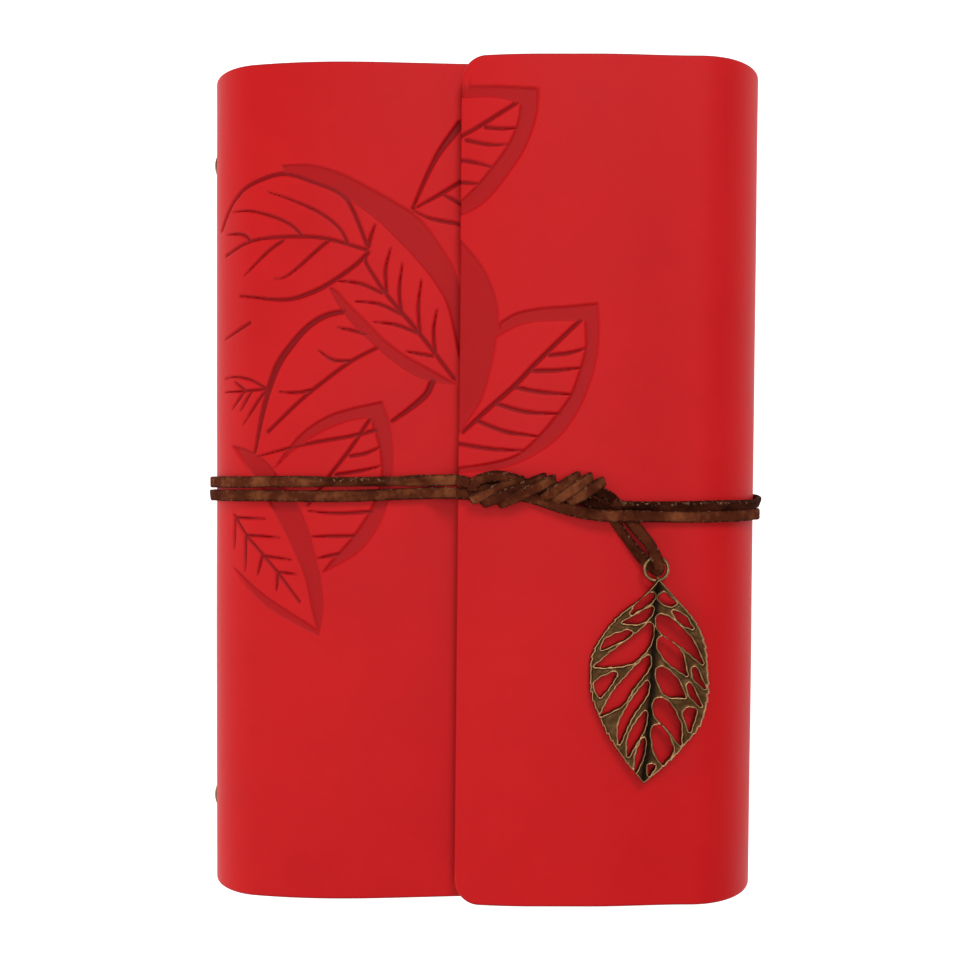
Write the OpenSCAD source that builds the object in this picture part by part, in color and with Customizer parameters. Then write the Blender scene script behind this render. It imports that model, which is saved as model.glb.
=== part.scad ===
// Wrap-around notebook with a flap, a ring mechanism, a knotted lace tie and a leaf charm.
// It lies on its back cover: spine towards -X, head towards +Y, front cover upwards.
// Origin: centre of the whole book's outline, on the surface it lies on. Millimetres.

/* [Cover] */
// Height of the book, head to tail
book_h = 185; // [180:1:190]
// Thickness of the leather
leather_t = 1.8; // [1.7:0.05:1.9]
// Half the width of the closed cover
half_w = 62.7; // [62.5:0.1:63.5]
// Outer radius of the rounded spine
spine_r = 14.5; // [14.4:0.05:14.6]
// Outer radius of the wrap round the fore-edge
fore_r = 16.75; // [16.7:0.05:16.9]
// Height of the front cover's crown
crown_z = 30.5; // [30.3:0.1:30.8]
// Height of the flap's outer face
flap_z = 34.5; // [34.4:0.1:35]
// Free edge of the flap, measured from the middle
flap_edge_x = -5.5; // [-6:0.1:-5]
// Free edge of the front cover, under the flap
front_edge_x = 54; // [52:0.5:54]
// Radius of the rounded corners
corner_r = 5.4; // [4:0.1:7]

/* [Rings and pages] */
// Mean radius of a ring
ring_r = 9.75; // [9.7:0.05:9.8]
// Radius of the ring wire
wire_r = 1.15; // [1:0.05:1.2]
// Spacing of the rings in each group of three
ring_pitch = 19; // [18:0.5:20]
// Distance from the middle to the nearest ring
ring_first = 25.5; // [24:0.5:27]
// Distance from the middle to each rivet
rivet_y = 74; // [73:0.5:76]
// Height of a page
page_h = 171; // [168:1:171]
// Width of a page
page_w = 95; // [90:0.5:95]
// Thickness of one pack of pages
pack_t = 2.55; // [2.4:0.05:2.6]
// Radius of the holes in the pages
page_hole_r = 3; // [2.5:0.1:3]
// Distance from a page's inner edge to its holes
hole_inset = 5.5; // [5:0.1:6]
// How far the pages hang down, in degrees
page_droop = 2.5; // [2:0.1:2.5]

/* [Lace and charm] */
// Width of the flat lace
lace_w = 2.8; // [2.4:0.1:2.8]
// Thickness of the flat lace
lace_t = 1.35; // [1.2:0.05:1.35]
// Outer radius of the jump ring
jump_r = 2.9; // [2.8:0.05:3]
// Length of the leaf charm, without its eye
charm_l = 42.6; // [38:0.2:44]
// Width of the leaf charm
charm_w = 25.4; // [22:0.2:26]
// Thickness of the leaf charm
charm_t = 1.5; // [1.2:0.1:1.6]

/* [Hidden] */
$fn = 48;

leather_red = "firebrick";
lace_brown = "saddlebrown";
bronze = "darkgoldenrod";
steel = "silver";
paper = "ivory";

seam = 0.06;                        // gap left between neighbouring pieces
half_h = book_h / 2;
spine_c = [-half_w + spine_r, spine_r];
fore_c = [half_w - fore_r, fore_r];
panel_a = 27;                       // half angle of the stiff panels at spine and fore-edge
cover_a = 100;                      // angle at which the spine's arc runs into the front cover
crown_x = -31.5;                    // where the front cover is highest
fore_top_z = 2 * fore_r;            // top of the fore-edge wrap
flap_flat_x = [12, 24];             // the flap is level between these two places
flap_droop = 1.6;                   // how much lower the flap's free edge lies

ring_c = [-47.25, spine_r];         // centre of the rings, in X and Z
ring_places = [for (side = [-1, 1]) for (i = [0:2])
    side * (ring_first + (side < 0 ? 2 - i : i) * ring_pitch)];
ring_end_a = 170;                   // where a half ring meets its blade
rail_x = [-59.3, -55.85];           // back and top of the rail
rail_half_z = 5.9;
rail_half_y = 82.6;
rail_t = 0.6;
blade_x = [-58.15, -57.55];
blade_half_y = 80;
lever_pin = [-57.6, 84.5];
lever_pin_r = 0.7;
lever_half_z = 5.1;
ear_t = 0.6;                        // the rail's ears, which carry the lever pins
ring_slot_z = [0.9, 7.1];           // each ring's slot in the rail, from the rail's middle
post_r = 1.5;
post_clearance = 0.05;
blade_hole_r = 2.2;
cap_r = [2.6, 1.7];                 // base and top of a rivet's cap
cap_z = [0.3, 0.45];                // its straight rim and its slope

lace_gap = 0.05;                    // the lace lies this far off the leather
spine_strand_y = [-1.0, -3.9];      // middle of each strand at the spine
fore_strand_y = [-4.6, -7.8];       // middle of each strand at the fore-edge
channel_depth = 1.45;               // groove for the lace in the back of the cover
lace_low_z = 0.05;                  // underside of the lace behind the book
knot_x = [-5.35, 29.9];             // the knot's stretch of the flap
strap_step = 1.4;                   // height of one layer of lace in the knot

tail_w = 2.6;
tail_t = 0.95;                      // thickness of the lace where it is pulled through the ring
tail_lift = 1.9;                    // height of the tail's upper layer over its lower one

ring_wire = 0.375;                  // radius of the jump ring's wire
jump_c = [37.1, -19.1, 36.0];
tail_pin = [36.4, -18.25];          // the bend of the tail that the ring turns about
charm_eye = [37.3, jump_c[1] - jump_r + ring_wire, 36.0];
charm_low_z = 34.85;
charm_tilt = -3.4;
charm_rim = 1.1;                    // width of the leaf's rim and of its midrib
charm_vein = 0.9;                   // width of the veins between its openings
charm_vein_a = 42;                  // angle of the veins from the midrib
charm_vein_pitch = 6.4;
charm_eye_r = [1.15, 0.6];          // outside and bore of the leaf's eye
charm_eye_t = 1.4;

// ---- outlines -------------------------------------------------------------------------------

function arc(c, r, a0, a1, n = 20) =
    [for (i = [0:n]) let (a = a0 + (a1 - a0) * i / n) [c[0] + r * cos(a), c[1] + r * sin(a)]];
function reversed(list) = [for (i = [len(list) - 1:-1:0]) list[i]];
function steps(x0, x1, n) = [for (i = [0:n]) x0 + (x1 - x0) * i / n];
function smooth(u) = u * u * (3 - 2 * u);

// Where the spine's arc ends and the front cover starts
cover_start = [spine_c[0] + spine_r * cos(cover_a), spine_c[1] + spine_r * sin(cover_a)];
rise = (crown_z - cover_start[1]) / pow(crown_x - cover_start[0], 2);

// Height of the front cover's outer face
function cover_z(x) =
    x < crown_x ? crown_z - rise * pow(x - crown_x, 2) :
    x < crown_x + 10 ? crown_z - 0.003 * pow(x - crown_x, 2) :
    x < flap_edge_x ? crown_z - 0.3 - 0.06 * (x - crown_x - 10) :
    crown_z - 0.3 - 0.06 * (flap_edge_x - crown_x - 10) - 0.02 * (x - flap_edge_x);

// Height of the flap's outer face
function flap_top(x) =
    x < flap_flat_x[0] ? flap_z - flap_droop * pow((flap_flat_x[0] - x) / 17.5, 2) :
    x < flap_flat_x[1] ? flap_z :
    flap_z - (flap_z - fore_top_z) * smooth((x - flap_flat_x[1]) / (fore_c[0] - flap_flat_x[1]));

function cover_line(x0, x1, n = 24) = [for (x = steps(x0, x1, n)) [x, cover_z(x)]];
function flap_line(x0, x1, n = 24) = [for (x = steps(x0, x1, n)) [x, flap_top(x)]];

// Points of a line moved d along its left-hand normal
function moved(line, d) = [for (i = [0:len(line) - 1])
    let (a = line[max(i - 1, 0)], b = line[min(i + 1, len(line) - 1)],
         v = b - a, n = [-v[1], v[0]] / norm(v))
    line[i] + d * n];
function strip(line, low, high) = concat(moved(line, low), reversed(moved(line, high)));

// ---- shared modules -------------------------------------------------------------------------

// Sweep an X-Z outline along Y
module along_y(y0, y1) {
    translate([0, y1, 0]) rotate([90, 0, 0]) linear_extrude(height = y1 - y0) children();
}

module thick_arc(c, r, t, a0, a1, y0 = -half_h, y1 = half_h) {
    along_y(y0, y1) polygon(concat(arc(c, r, a0, a1), reversed(arc(c, r - t, a0, a1))));
}

// A plan outline with two rounded corners at its x_round end
module plan(x_square, x_round, half_y, r) {
    side = sign(x_round - x_square);
    x_turn = x_round - side * r;
    translate([0, 0, -10]) linear_extrude(height = 60) union() {
        translate([min(x_square, x_turn), -half_y]) square([abs(x_turn - x_square), 2 * half_y]);
        translate([min(x_turn, x_round), -half_y + r]) square([r, 2 * (half_y - r)]);
        for (s = [-1, 1]) translate([x_turn, s * (half_y - r)]) circle(r = r);
    }
}

// Both strands of the lace over an outline in X-Z
module strands(places) {
    for (y = places) along_y(y - lace_w / 2, y + lace_w / 2) children();
}

// The band the lace takes across the back, at x0 and x1 in plan
function back_y(x, i) = spine_strand_y[i]
    + (fore_strand_y[i] - spine_strand_y[i]) * smooth(min(1, max(0, (x + 40) / 80)));
function band(i, half) = concat(
    [for (x = steps(-56, 56, 28)) [x, back_y(x, i) - half]],
    [for (x = steps(56, -56, 28)) [x, back_y(x, i) + half]]);

// The groove that keeps the lace clear of the table
module lace_groove() {
    for (i = [0, 1]) translate([0, 0, -1]) linear_extrude(height = 1 + channel_depth)
        polygon(band(i, lace_w / 2 + 0.06));
}

// ---- leather cover --------------------------------------------------------------------------

module front_cover() color(leather_red) intersection() {
    along_y(-half_h, half_h)
        polygon(strip(cover_line(cover_start[0] + seam, front_edge_x), 0, -leather_t));
    plan(-60, front_edge_x, half_h, corner_r);
}

module front_spine_fold() color(leather_red)
    thick_arc(spine_c, spine_r, leather_t, cover_a + 0.3, 180 - panel_a - 0.2);

module spine_panel() color(leather_red) difference() {
    thick_arc(spine_c, spine_r, leather_t, 180 - panel_a, 180 + panel_a);
    // A seat for each rivet's cap, and the hole for its post
    for (s = [-1, 1]) translate([-half_w, s * rivet_y, spine_r]) rotate([0, 90, 0]) {
        translate([0, 0, -1]) cylinder(r = cap_r[0] + 0.1, h = 1.35);
        translate([0, 0, -1]) cylinder(r = post_r + 0.1, h = leather_t + 2);
    }
}

module back_spine_fold() color(leather_red) difference() {
    thick_arc(spine_c, spine_r, leather_t, 180 + panel_a + 0.2, 269.8);
    lace_groove();
}

module back_cover() color(leather_red) difference() {
    translate([spine_c[0], -half_h, 0]) cube([fore_c[0] - spine_c[0], book_h, leather_t]);
    lace_groove();
}

module back_fore_edge_fold() color(leather_red) difference() {
    thick_arc(fore_c, fore_r, leather_t, -89.8, -panel_a - 0.2);
    lace_groove();
}

module fore_edge_panel() color(leather_red)
    thick_arc(fore_c, fore_r, leather_t, -panel_a, panel_a);

module front_fore_edge_fold() color(leather_red)
    thick_arc(fore_c, fore_r, leather_t, panel_a + 0.2, 89.8);

module cover_flap() color(leather_red) intersection() {
    along_y(-half_h, half_h)
        polygon(strip(flap_line(flap_edge_x, fore_c[0] - seam), 0, -leather_t));
    plan(60, flap_edge_x, half_h, corner_r);
}

// ---- ring mechanism -------------------------------------------------------------------------

function rail_outline(in) = [
    [rail_x[0], -rail_half_z + in], [rail_x[0] + 1.8, -rail_half_z + in],
    [rail_x[1] - in, -4 + in / 2], [rail_x[1] - in, 4 - in / 2],
    [rail_x[0] + 1.8, rail_half_z - in], [rail_x[0], rail_half_z - in]];

module rail_section(in) translate([0, spine_r]) polygon(rail_outline(in));

module ring_rail() color(steel) difference() {
    union() {
        difference() {
            along_y(-rail_half_y, rail_half_y) rail_section(0);
            along_y(-rail_half_y - 1, rail_half_y + 1) translate([-0.01, 0]) rail_section(rail_t);
        }
        // Ears that carry the lever pins
        for (sy = [-1, 1]) for (sz = [-1, 1])
            translate([rail_x[0] + 0.2, sy * 84.3 - 2.1, spine_r + sz * 5.55 - 0.3])
                cube([3, 4.2, ear_t]);
    }
    for (y = ring_places) for (sz = [-1, 1])
        translate([-57.3, y - 1.55, spine_r + (sz > 0 ? ring_slot_z[0] : -ring_slot_z[1])])
            cube([3.4, 3.1, ring_slot_z[1] - ring_slot_z[0]]);
    for (s = [-1, 1]) {
        translate([rail_x[0] - 1, s * rivet_y, spine_r]) rotate([0, 90, 0])
            cylinder(r = post_r + post_clearance, h = 8);
        translate([lever_pin[0], s * lever_pin[1], 0]) cylinder(r = lever_pin_r, h = 40);
    }
}

// One blade: side is +1 for the front one, -1 for the back one
module blade(side) color(steel) difference() {
    translate([blade_x[0], -blade_half_y, spine_r + (side > 0 ? 0.12 : -5.12)])
        cube([blade_x[1] - blade_x[0], 2 * blade_half_y, 5]);
    for (s = [-1, 1]) translate([rail_x[0], s * rivet_y, spine_r]) rotate([0, 90, 0])
        cylinder(r = blade_hole_r, h = 8);
}

module half_ring(side, i) color(steel)
    translate([ring_c[0], ring_places[i - 1], ring_c[1]]) rotate([90, 0, 0])
        rotate([0, 0, side > 0 ? 0.25 : 0.25 - ring_end_a - 0.5])
            rotate_extrude(angle = ring_end_a) translate([ring_r, 0]) circle(r = wire_r);

// The levers turn about a pin along Z at each end of the rail
module lever(side) color(steel) mirror([0, side > 0 ? 0 : 1, 0]) difference() {
    translate([0, 0, spine_r - lever_half_z]) linear_extrude(height = 2 * lever_half_z)
        polygon([[-58.6, 83.4], [-56.6, 83.4], [-56.4, 85.7], [-51, 86.4], [-49.8, 87.2],
                 [-49.8, 88.4], [-51, 89.2], [-57.8, 87.6], [-58.6, 86.4]]);
    translate([lever_pin[0], lever_pin[1], 0]) cylinder(r = lever_pin_r + 0.05, h = 40);
}

module lever_pin_at(side) color(steel)
    translate([lever_pin[0], side * lever_pin[1], spine_r - rail_half_z])
        cylinder(r = lever_pin_r, h = 2 * rail_half_z);

module post(side) color(steel)
    translate([0, side * rivet_y, spine_r]) rotate([0, 90, 0]) union() {
        translate([0, 0, -62.2]) cylinder(r = post_r, h = 62.2 + rail_x[1] + 0.02);
        translate([0, 0, rail_x[1] + 0.02]) cylinder(r1 = 2.5, r2 = 2.1, h = 0.5);
    }

module rivet_cap(side) color(bronze)
    translate([-62.4, side * rivet_y, spine_r]) rotate([0, -90, 0]) difference() {
        union() {
            cylinder(r = cap_r[0], h = cap_z[0]);
            translate([0, 0, cap_z[0]]) cylinder(r1 = cap_r[0], r2 = cap_r[1], h = cap_z[1]);
        }
        translate([0, 0, -0.01]) cylinder(r = post_r, h = 0.22);
    }

// ---- pages ----------------------------------------------------------------------------------

// Inner edge of a page that lies d from the rings' centre
function page_start(d) = sqrt(ring_r * ring_r - d * d) - hole_inset;
function pack_outline(d0, d1, n = 4) = concat(
    [for (d = steps(d0, d1, n)) [page_start(d), d]],
    [for (d = steps(d1, d0, n)) [page_start(d) + page_w, d]]);

// Pack k of three, counted from the rings' centre: side is +1 in front, -1 behind
module pages(side, k) color(paper) difference() {
    translate([ring_c[0], 0, ring_c[1]]) rotate([0, page_droop, 0])
        mirror([0, 0, side > 0 ? 0 : 1]) along_y(-page_h / 2, page_h / 2)
            polygon(pack_outline((k - 1) * pack_t + 0.03, k * pack_t - 0.03));
    for (y = ring_places) translate([ring_c[0], y, ring_c[1]]) rotate([90, 0, 0])
        rotate_extrude() translate([ring_r, 0]) circle(r = page_hole_r);
}

// ---- lace -----------------------------------------------------------------------------------

module tie_front_run() color(lace_brown) strands(spine_strand_y)
    polygon(strip(concat(cover_line(cover_start[0] + 0.12, -13, 12),
        [[-10.5, cover_z(-10.5) + 0.4], [-8.2, cover_z(-8.2) + 1.7],
         [-5.9, flap_top(flap_edge_x) + 0.1]]),
        lace_gap, lace_gap + lace_t));

module tie_spine_run() color(lace_brown) strands(spine_strand_y)
    polygon(concat(
        arc(spine_c, spine_r + lace_gap + lace_t, cover_a + 0.6, 245),
        reversed(arc(spine_c, spine_r + lace_gap, cover_a + 0.6, 245))));

module tie_back_run() color(lace_brown)
    for (i = [0, 1]) intersection() {
        translate([0, 0, lace_low_z]) linear_extrude(height = lace_t) polygon(band(i, lace_w / 2));
        translate([-54.2, -20, -1]) cube([106, 40, 4]);
    }

module tie_fore_edge_run() color(lace_brown) strands(fore_strand_y)
    polygon(concat(
        arc(fore_c, fore_r + lace_gap + lace_t, -66, 69.5),
        reversed(arc(fore_c, fore_r + lace_gap, -66, 69.5))));

module tie_flap_run() color(lace_brown) strands(fore_strand_y)
    polygon(strip(concat(flap_line(knot_x[1], fore_c[0], 12),
                         reversed(arc(fore_c, fore_r, 70, 88, 5))),
                  lace_gap, lace_gap + lace_t));

// A straight piece of lace between two places in plan, its underside at z
module strap(a, b, z, w = lace_w, t = lace_t) {
    v = b - a;
    translate([a[0], a[1], z]) rotate([0, 0, atan2(v[1], v[0])])
        translate([0, -w / 2, 0]) cube([norm(v), w, t]);
}

module tie_knot() color(lace_brown) {
    base = flap_z + lace_gap;
    // Strands as they come from the spine and leave for the fore-edge
    strap([knot_x[0], -1], [4, -1.6], base);
    strap([knot_x[0], -3.9], [6, -4.6], base);
    strap([10, -3.6], [24, -6.9], base);
    strap([24, -6.9], [29.2, -7.8], base);
    strap([18, 0], [24, -1.4], base);
    strap([24, -1.4], [28.6, -4.2], base);
    // Turns over the top
    strap([-2, 0.2], [8, -0.4], base + strap_step);
    strap([-0.5, -5.2], [13, 0.4], base + strap_step, 2.8);
    strap([2.5, -6.2], [16, -0.6], base + strap_step, 2.8);
    strap([13, -4.4], [20.5, 0.7], base + strap_step);
    strap([16.2, -5], [24.4, 0.4], base + strap_step);
    strap([13.6, -3.8], [20, 0.5], base + 2 * strap_step, 2.4);
    strap([17, -4.2], [23.4, 0], base + 2 * strap_step, 2.4);
}

module tie_tail() color(lace_brown) {
    low = flap_z + lace_gap;
    strap([27.5, -10.3], tail_pin, low, tail_w, tail_t);
    strap([29.6, -10.2], tail_pin, low + tail_lift, tail_w, tail_t);
    // Where both layers meet under the strands above, and the bend inside the jump ring
    strap([29.8, -10.4], [31.4, -12.2], low + 0.05, 2.3, tail_lift + tail_t - 0.1);
    translate([tail_pin[0], tail_pin[1], low + 0.05])
        cylinder(r = 1, h = tail_lift + tail_t - 0.1);
}

// ---- charm ----------------------------------------------------------------------------------

module jump_ring() color(bronze) translate(jump_c)
    rotate_extrude() translate([jump_r - ring_wire, 0]) circle(r = ring_wire);

// Half width of the leaf at u, from 0 at its stem to 1 at its tip
function leaf_half(u) = charm_w / 2 * pow(sin(180 * pow(u, 0.9)), 0.85);
// The leaf's outline, or one that lies inset within it
function leaf_outline(inset, u0, u1, n = 32) = concat(
    [for (u = steps(u0, u1, n)) [leaf_half(u) - inset, -u * charm_l]],
    [for (u = steps(u1, u0, n)) [inset - leaf_half(u), -u * charm_l]]);

// The leaf's openings: all of it inside the rim, apart from the midrib and the veins
module leaf_openings() difference() {
    polygon(leaf_outline(charm_rim, 0.1, 0.92));
    translate([-charm_rim / 2, -charm_l]) square([charm_rim, charm_l]);
    for (side = [-1, 1]) for (y = [0:charm_vein_pitch:charm_l + charm_w])
        translate([0, -y]) rotate(90 - side * charm_vein_a)
            translate([0, -charm_vein / 2]) square([charm_l, charm_vein]);
}

module leaf_charm() color(bronze) difference() {
    translate([charm_eye[0], charm_eye[1], 0]) rotate([0, 0, charm_tilt]) union() {
        translate([0, -1.05, charm_low_z]) linear_extrude(height = charm_t - 0.5) difference() {
            polygon(leaf_outline(0, 0.005, 0.995));
            leaf_openings();
        }
        // Raised midrib
        translate([-charm_rim / 2, 0.5 - charm_l, charm_low_z])
            cube([charm_rim, charm_l - 2.4, charm_t]);
        // Eye that hangs on the jump ring
        translate([-charm_eye_t / 2, 0, charm_eye[2]]) rotate([0, 90, 0])
            cylinder(r = charm_eye_r[0], h = charm_eye_t);
        translate([-charm_eye_t / 2, -2.2, charm_low_z]) cube([charm_eye_t, 1.4, 1]);
    }
    translate([charm_eye[0] - 5, charm_eye[1], charm_eye[2]]) rotate([0, 90, 0])
        cylinder(r = charm_eye_r[1], h = 10);
}

// ---- the nodes ------------------------------------------------------------------------------

front_cover();
front_spine_fold();
spine_panel();
back_spine_fold();
back_cover();
back_fore_edge_fold();
fore_edge_panel();
front_fore_edge_fold();
cover_flap();
ring_rail();
blade(1);  // front_blade
blade(-1);  // back_blade
half_ring(1, 1);  // front_ring_1
half_ring(1, 2);  // front_ring_2
half_ring(1, 3);  // front_ring_3
half_ring(1, 4);  // front_ring_4
half_ring(1, 5);  // front_ring_5
half_ring(1, 6);  // front_ring_6
half_ring(-1, 1);  // back_ring_1
half_ring(-1, 2);  // back_ring_2
half_ring(-1, 3);  // back_ring_3
half_ring(-1, 4);  // back_ring_4
half_ring(-1, 5);  // back_ring_5
half_ring(-1, 6);  // back_ring_6
lever(1);  // head_lever
lever(-1);  // foot_lever
lever_pin_at(1);  // head_lever_pin
lever_pin_at(-1);  // foot_lever_pin
post(1);  // head_post
post(-1);  // foot_post
rivet_cap(1);  // head_rivet_cap
rivet_cap(-1);  // foot_rivet_cap
pages(1, 1);  // front_pages_1
pages(1, 2);  // front_pages_2
pages(1, 3);  // front_pages_3
pages(-1, 1);  // back_pages_1
pages(-1, 2);  // back_pages_2
pages(-1, 3);  // back_pages_3
tie_front_run();
tie_spine_run();
tie_back_run();
tie_fore_edge_run();
tie_flap_run();
tie_knot();
tie_tail();
jump_ring();
leaf_charm();
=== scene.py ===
"""A wrap-around leather notebook: its looks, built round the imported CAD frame.

Lengths are in millimetres until a mesh is made, where MM turns them into metres. The camera
and the lights are in metres, and so are the distances in a material.
The frame: spine towards -X, head towards +Y, front cover up, back cover on Z = 0.
"""

import math

import bpy
import numpy as np
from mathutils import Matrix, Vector, noise
from mathutils.geometry import delaunay_2d_cdt


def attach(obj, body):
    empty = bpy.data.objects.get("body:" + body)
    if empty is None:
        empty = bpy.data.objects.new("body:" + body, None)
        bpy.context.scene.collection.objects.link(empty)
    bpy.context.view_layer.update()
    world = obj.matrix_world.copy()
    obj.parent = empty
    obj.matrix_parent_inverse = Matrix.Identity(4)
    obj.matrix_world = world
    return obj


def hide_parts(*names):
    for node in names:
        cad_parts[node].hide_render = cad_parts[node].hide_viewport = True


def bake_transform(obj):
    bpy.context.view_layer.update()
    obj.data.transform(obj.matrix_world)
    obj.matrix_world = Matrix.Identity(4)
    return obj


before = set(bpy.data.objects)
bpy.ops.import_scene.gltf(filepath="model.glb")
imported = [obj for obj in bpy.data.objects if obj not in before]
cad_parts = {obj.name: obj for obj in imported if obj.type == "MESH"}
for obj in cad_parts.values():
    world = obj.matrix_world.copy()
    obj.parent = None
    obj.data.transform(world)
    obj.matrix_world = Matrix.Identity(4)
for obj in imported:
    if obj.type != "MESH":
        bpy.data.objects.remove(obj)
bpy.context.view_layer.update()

MM = 0.001

# ---- sizes, as the CAD model has them ----

HALF_H = 92.5
LEATHER_T = 1.8
SPINE_C, SPINE_R = (-48.2, 14.5), 14.5
FORE_C, FORE_R = (45.95, 16.75), 16.75
PANEL_A = 27.0
COVER_A = 100.0
CROWN_X, CROWN_Z = -31.5, 30.5
CROWN_RUN, CROWN_DROP = 10, 0.3         # the crown eases off over this run, by this much
COVER_SLOPE, EDGE_SLOPE = 0.06, 0.02    # beyond the crown, and under the flap
FLAP_Z, FLAP_EDGE_X, FLAP_FLAT = 34.5, -5.5, (12.0, 24.0)
FLAP_DROOP = 1.6
FRONT_EDGE_X = 54.0
CORNER_R = 5.4
RING_C, RING_R = (-47.25, 14.5), 9.75
RING_Y = [side * y for side in (-1, 1) for y in (25.5, 44.5, 63.5)]
PAGE_H, PAGE_W, PACK_T, HOLE_R, HOLE_INSET, DROOP = 171.0, 95.0, 2.55, 3.0, 5.5, 2.5
LACE_W, LACE_T, LACE_GAP = 2.5, 1.35, 0.05
SPINE_STRANDS, FORE_STRANDS = (-0.45, -3.45), (-4.6, -7.8)
JUMP_C = (37.1, -19.1, 36.0)
CHARM_EYE = (37.3, -21.625, 36.0)
CHARM_TILT = -3.9
CHARM_LOW, LEAF_TOP_Y = 34.85, -21.0


# ---- camera and room ----

CAMERA_PLACE, LENS, SENSOR = (-0.0008, 0, 0.2445), 36.4, 36.0
BOOK_MIDDLE = (0, 0, 0.03)
# Each light's place and size in metres, and its power in watts
LIGHTS = {
    "key": ((0.25, 0.8, 0.85), 0.4, 5.4),
    "spine_side": ((-0.65, 0.1, 0.3), 0.25, 0.7),
    "fill": ((-0.45, -0.25, 0.35), 0.5, 0.7),
    "over": ((0.0, 0.0, 0.8), 0.5, 1.8),
}
SKY_STRENGTH = 0.3
FLOOR_HALF = 6000


def make_camera():
    """It looks straight down, which is a camera's own direction."""
    data = bpy.data.cameras.new("camera")
    data.lens, data.sensor_width = LENS, SENSOR
    data.clip_start, data.clip_end = 0.01, 10
    camera = bpy.data.objects.new("camera", data)
    camera.location = CAMERA_PLACE
    bpy.context.collection.objects.link(camera)
    bpy.context.scene.camera = camera


def area_light(name, place, size, power):
    data = bpy.data.lights.new(name, "AREA")
    data.shape, data.size, data.energy = "SQUARE", size, power
    light = bpy.data.objects.new(name, data)
    light.location = place
    towards = Vector(BOOK_MIDDLE) - Vector(place)
    light.rotation_euler = towards.to_track_quat("-Z", "Y").to_euler()
    bpy.context.collection.objects.link(light)


# ---- outlines in X and Z ----

ARC_STEP = 1.5        # degrees
LINE_STEP = 0.5


def arc(centre, radius, a0, a1):
    angles = np.radians(np.linspace(a0, a1, int(abs(a1 - a0) / ARC_STEP) + 2))
    return np.stack([centre[0] + radius * np.cos(angles), centre[1] + radius * np.sin(angles)], 1)


def smooth(u):
    u = np.clip(u, 0, 1)
    return u * u * (3 - 2 * u)


COVER_START = arc(SPINE_C, SPINE_R, COVER_A, COVER_A)[0]
RISE = (CROWN_Z - COVER_START[1]) / (CROWN_X - COVER_START[0]) ** 2


def cover_z(x):
    """Height of the front cover's outer face."""
    x = np.asarray(x, float)
    eased = CROWN_Z - CROWN_DROP / CROWN_RUN ** 2 * (x - CROWN_X) ** 2
    sloping = CROWN_Z - CROWN_DROP - COVER_SLOPE * (x - CROWN_X - CROWN_RUN)
    edge_z = CROWN_Z - CROWN_DROP - COVER_SLOPE * (FLAP_EDGE_X - CROWN_X - CROWN_RUN)
    return np.select(
        [x < CROWN_X, x < CROWN_X + CROWN_RUN, x < FLAP_EDGE_X],
        [CROWN_Z - RISE * (x - CROWN_X) ** 2, eased, sloping],
        edge_z - EDGE_SLOPE * (x - FLAP_EDGE_X))


def flap_top(x):
    """Height of the flap's outer face."""
    x = np.asarray(x, float)
    droop = FLAP_Z - FLAP_DROOP * ((FLAP_FLAT[0] - x) / (FLAP_FLAT[0] - FLAP_EDGE_X)) ** 2
    fall = FLAP_Z - (FLAP_Z - 2 * FORE_R) * smooth((x - FLAP_FLAT[1]) / (FORE_C[0] - FLAP_FLAT[1]))
    return np.where(x < FLAP_FLAT[0], droop, fall)


def along(height, x0, x1):
    x = np.linspace(x0, x1, int(abs(x1 - x0) / LINE_STEP) + 2)
    return np.stack([x, height(x)], 1)


class Line:
    """An outline in X and Z, read by its own length, with its outward normal."""

    def __init__(self, *stretches):
        points = np.concatenate(stretches)
        keep = np.r_[True, np.linalg.norm(np.diff(points, axis=0), axis=1) > 1e-4]
        self.points = points[keep]
        steps = np.diff(self.points, axis=0)
        self.at = np.r_[0, np.cumsum(np.linalg.norm(steps, axis=1))]
        self.length = self.at[-1]
        turn = np.unwrap(np.arctan2(steps[:, 1], steps[:, 0]))
        self.turn = np.r_[turn[0], (turn[1:] + turn[:-1]) / 2, turn[-1]]

    def place(self, s):
        inside = np.clip(s, 0, self.length)
        beyond = s - inside
        angle = np.interp(inside, self.at, self.turn)
        x = np.interp(inside, self.at, self.points[:, 0]) + beyond * np.cos(angle)
        z = np.interp(inside, self.at, self.points[:, 1]) + beyond * np.sin(angle)
        return x, z

    def normal(self, s, outward):
        angle = np.interp(np.clip(s, 0, self.length), self.at, self.turn) + outward * math.pi / 2
        return np.cos(angle), np.sin(angle)

    def length_at_x(self, x):
        """Length at which the line passes x, on a stretch that only grows or only shrinks."""
        return float(self.at[np.argmin(np.abs(self.points[:, 0] - x))])


FRONT_LINE = Line(arc(SPINE_C, SPINE_R, 180, COVER_A),
                  along(cover_z, COVER_START[0], FRONT_EDGE_X))
BACK_SPINE_LINE = Line(arc(SPINE_C, SPINE_R, 180, 270), np.array([[0.0, 0.0]]))
BACK_FORE_LINE = Line(arc(FORE_C, FORE_R, 0, -90), np.array([[0.0, 0.0]]))
FLAP_LINE = Line(arc(FORE_C, FORE_R, 0, 90), along(flap_top, FORE_C[0], FLAP_EDGE_X))


# ---- meshes ----

def new_mesh(name, points, faces, materials, face_material=None):
    """A mesh piece from points in millimetres."""
    mesh = bpy.data.meshes.new(name)
    mesh.from_pydata((np.asarray(points, float) * MM).tolist(), [], faces)
    for material in materials:
        mesh.materials.append(material)
    if face_material is not None:
        mesh.polygons.foreach_set("material_index", face_material)
    mesh.shade_smooth()
    mesh.validate()
    piece = bpy.data.objects.new(name, mesh)
    bpy.context.collection.objects.link(piece)
    return piece


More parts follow.
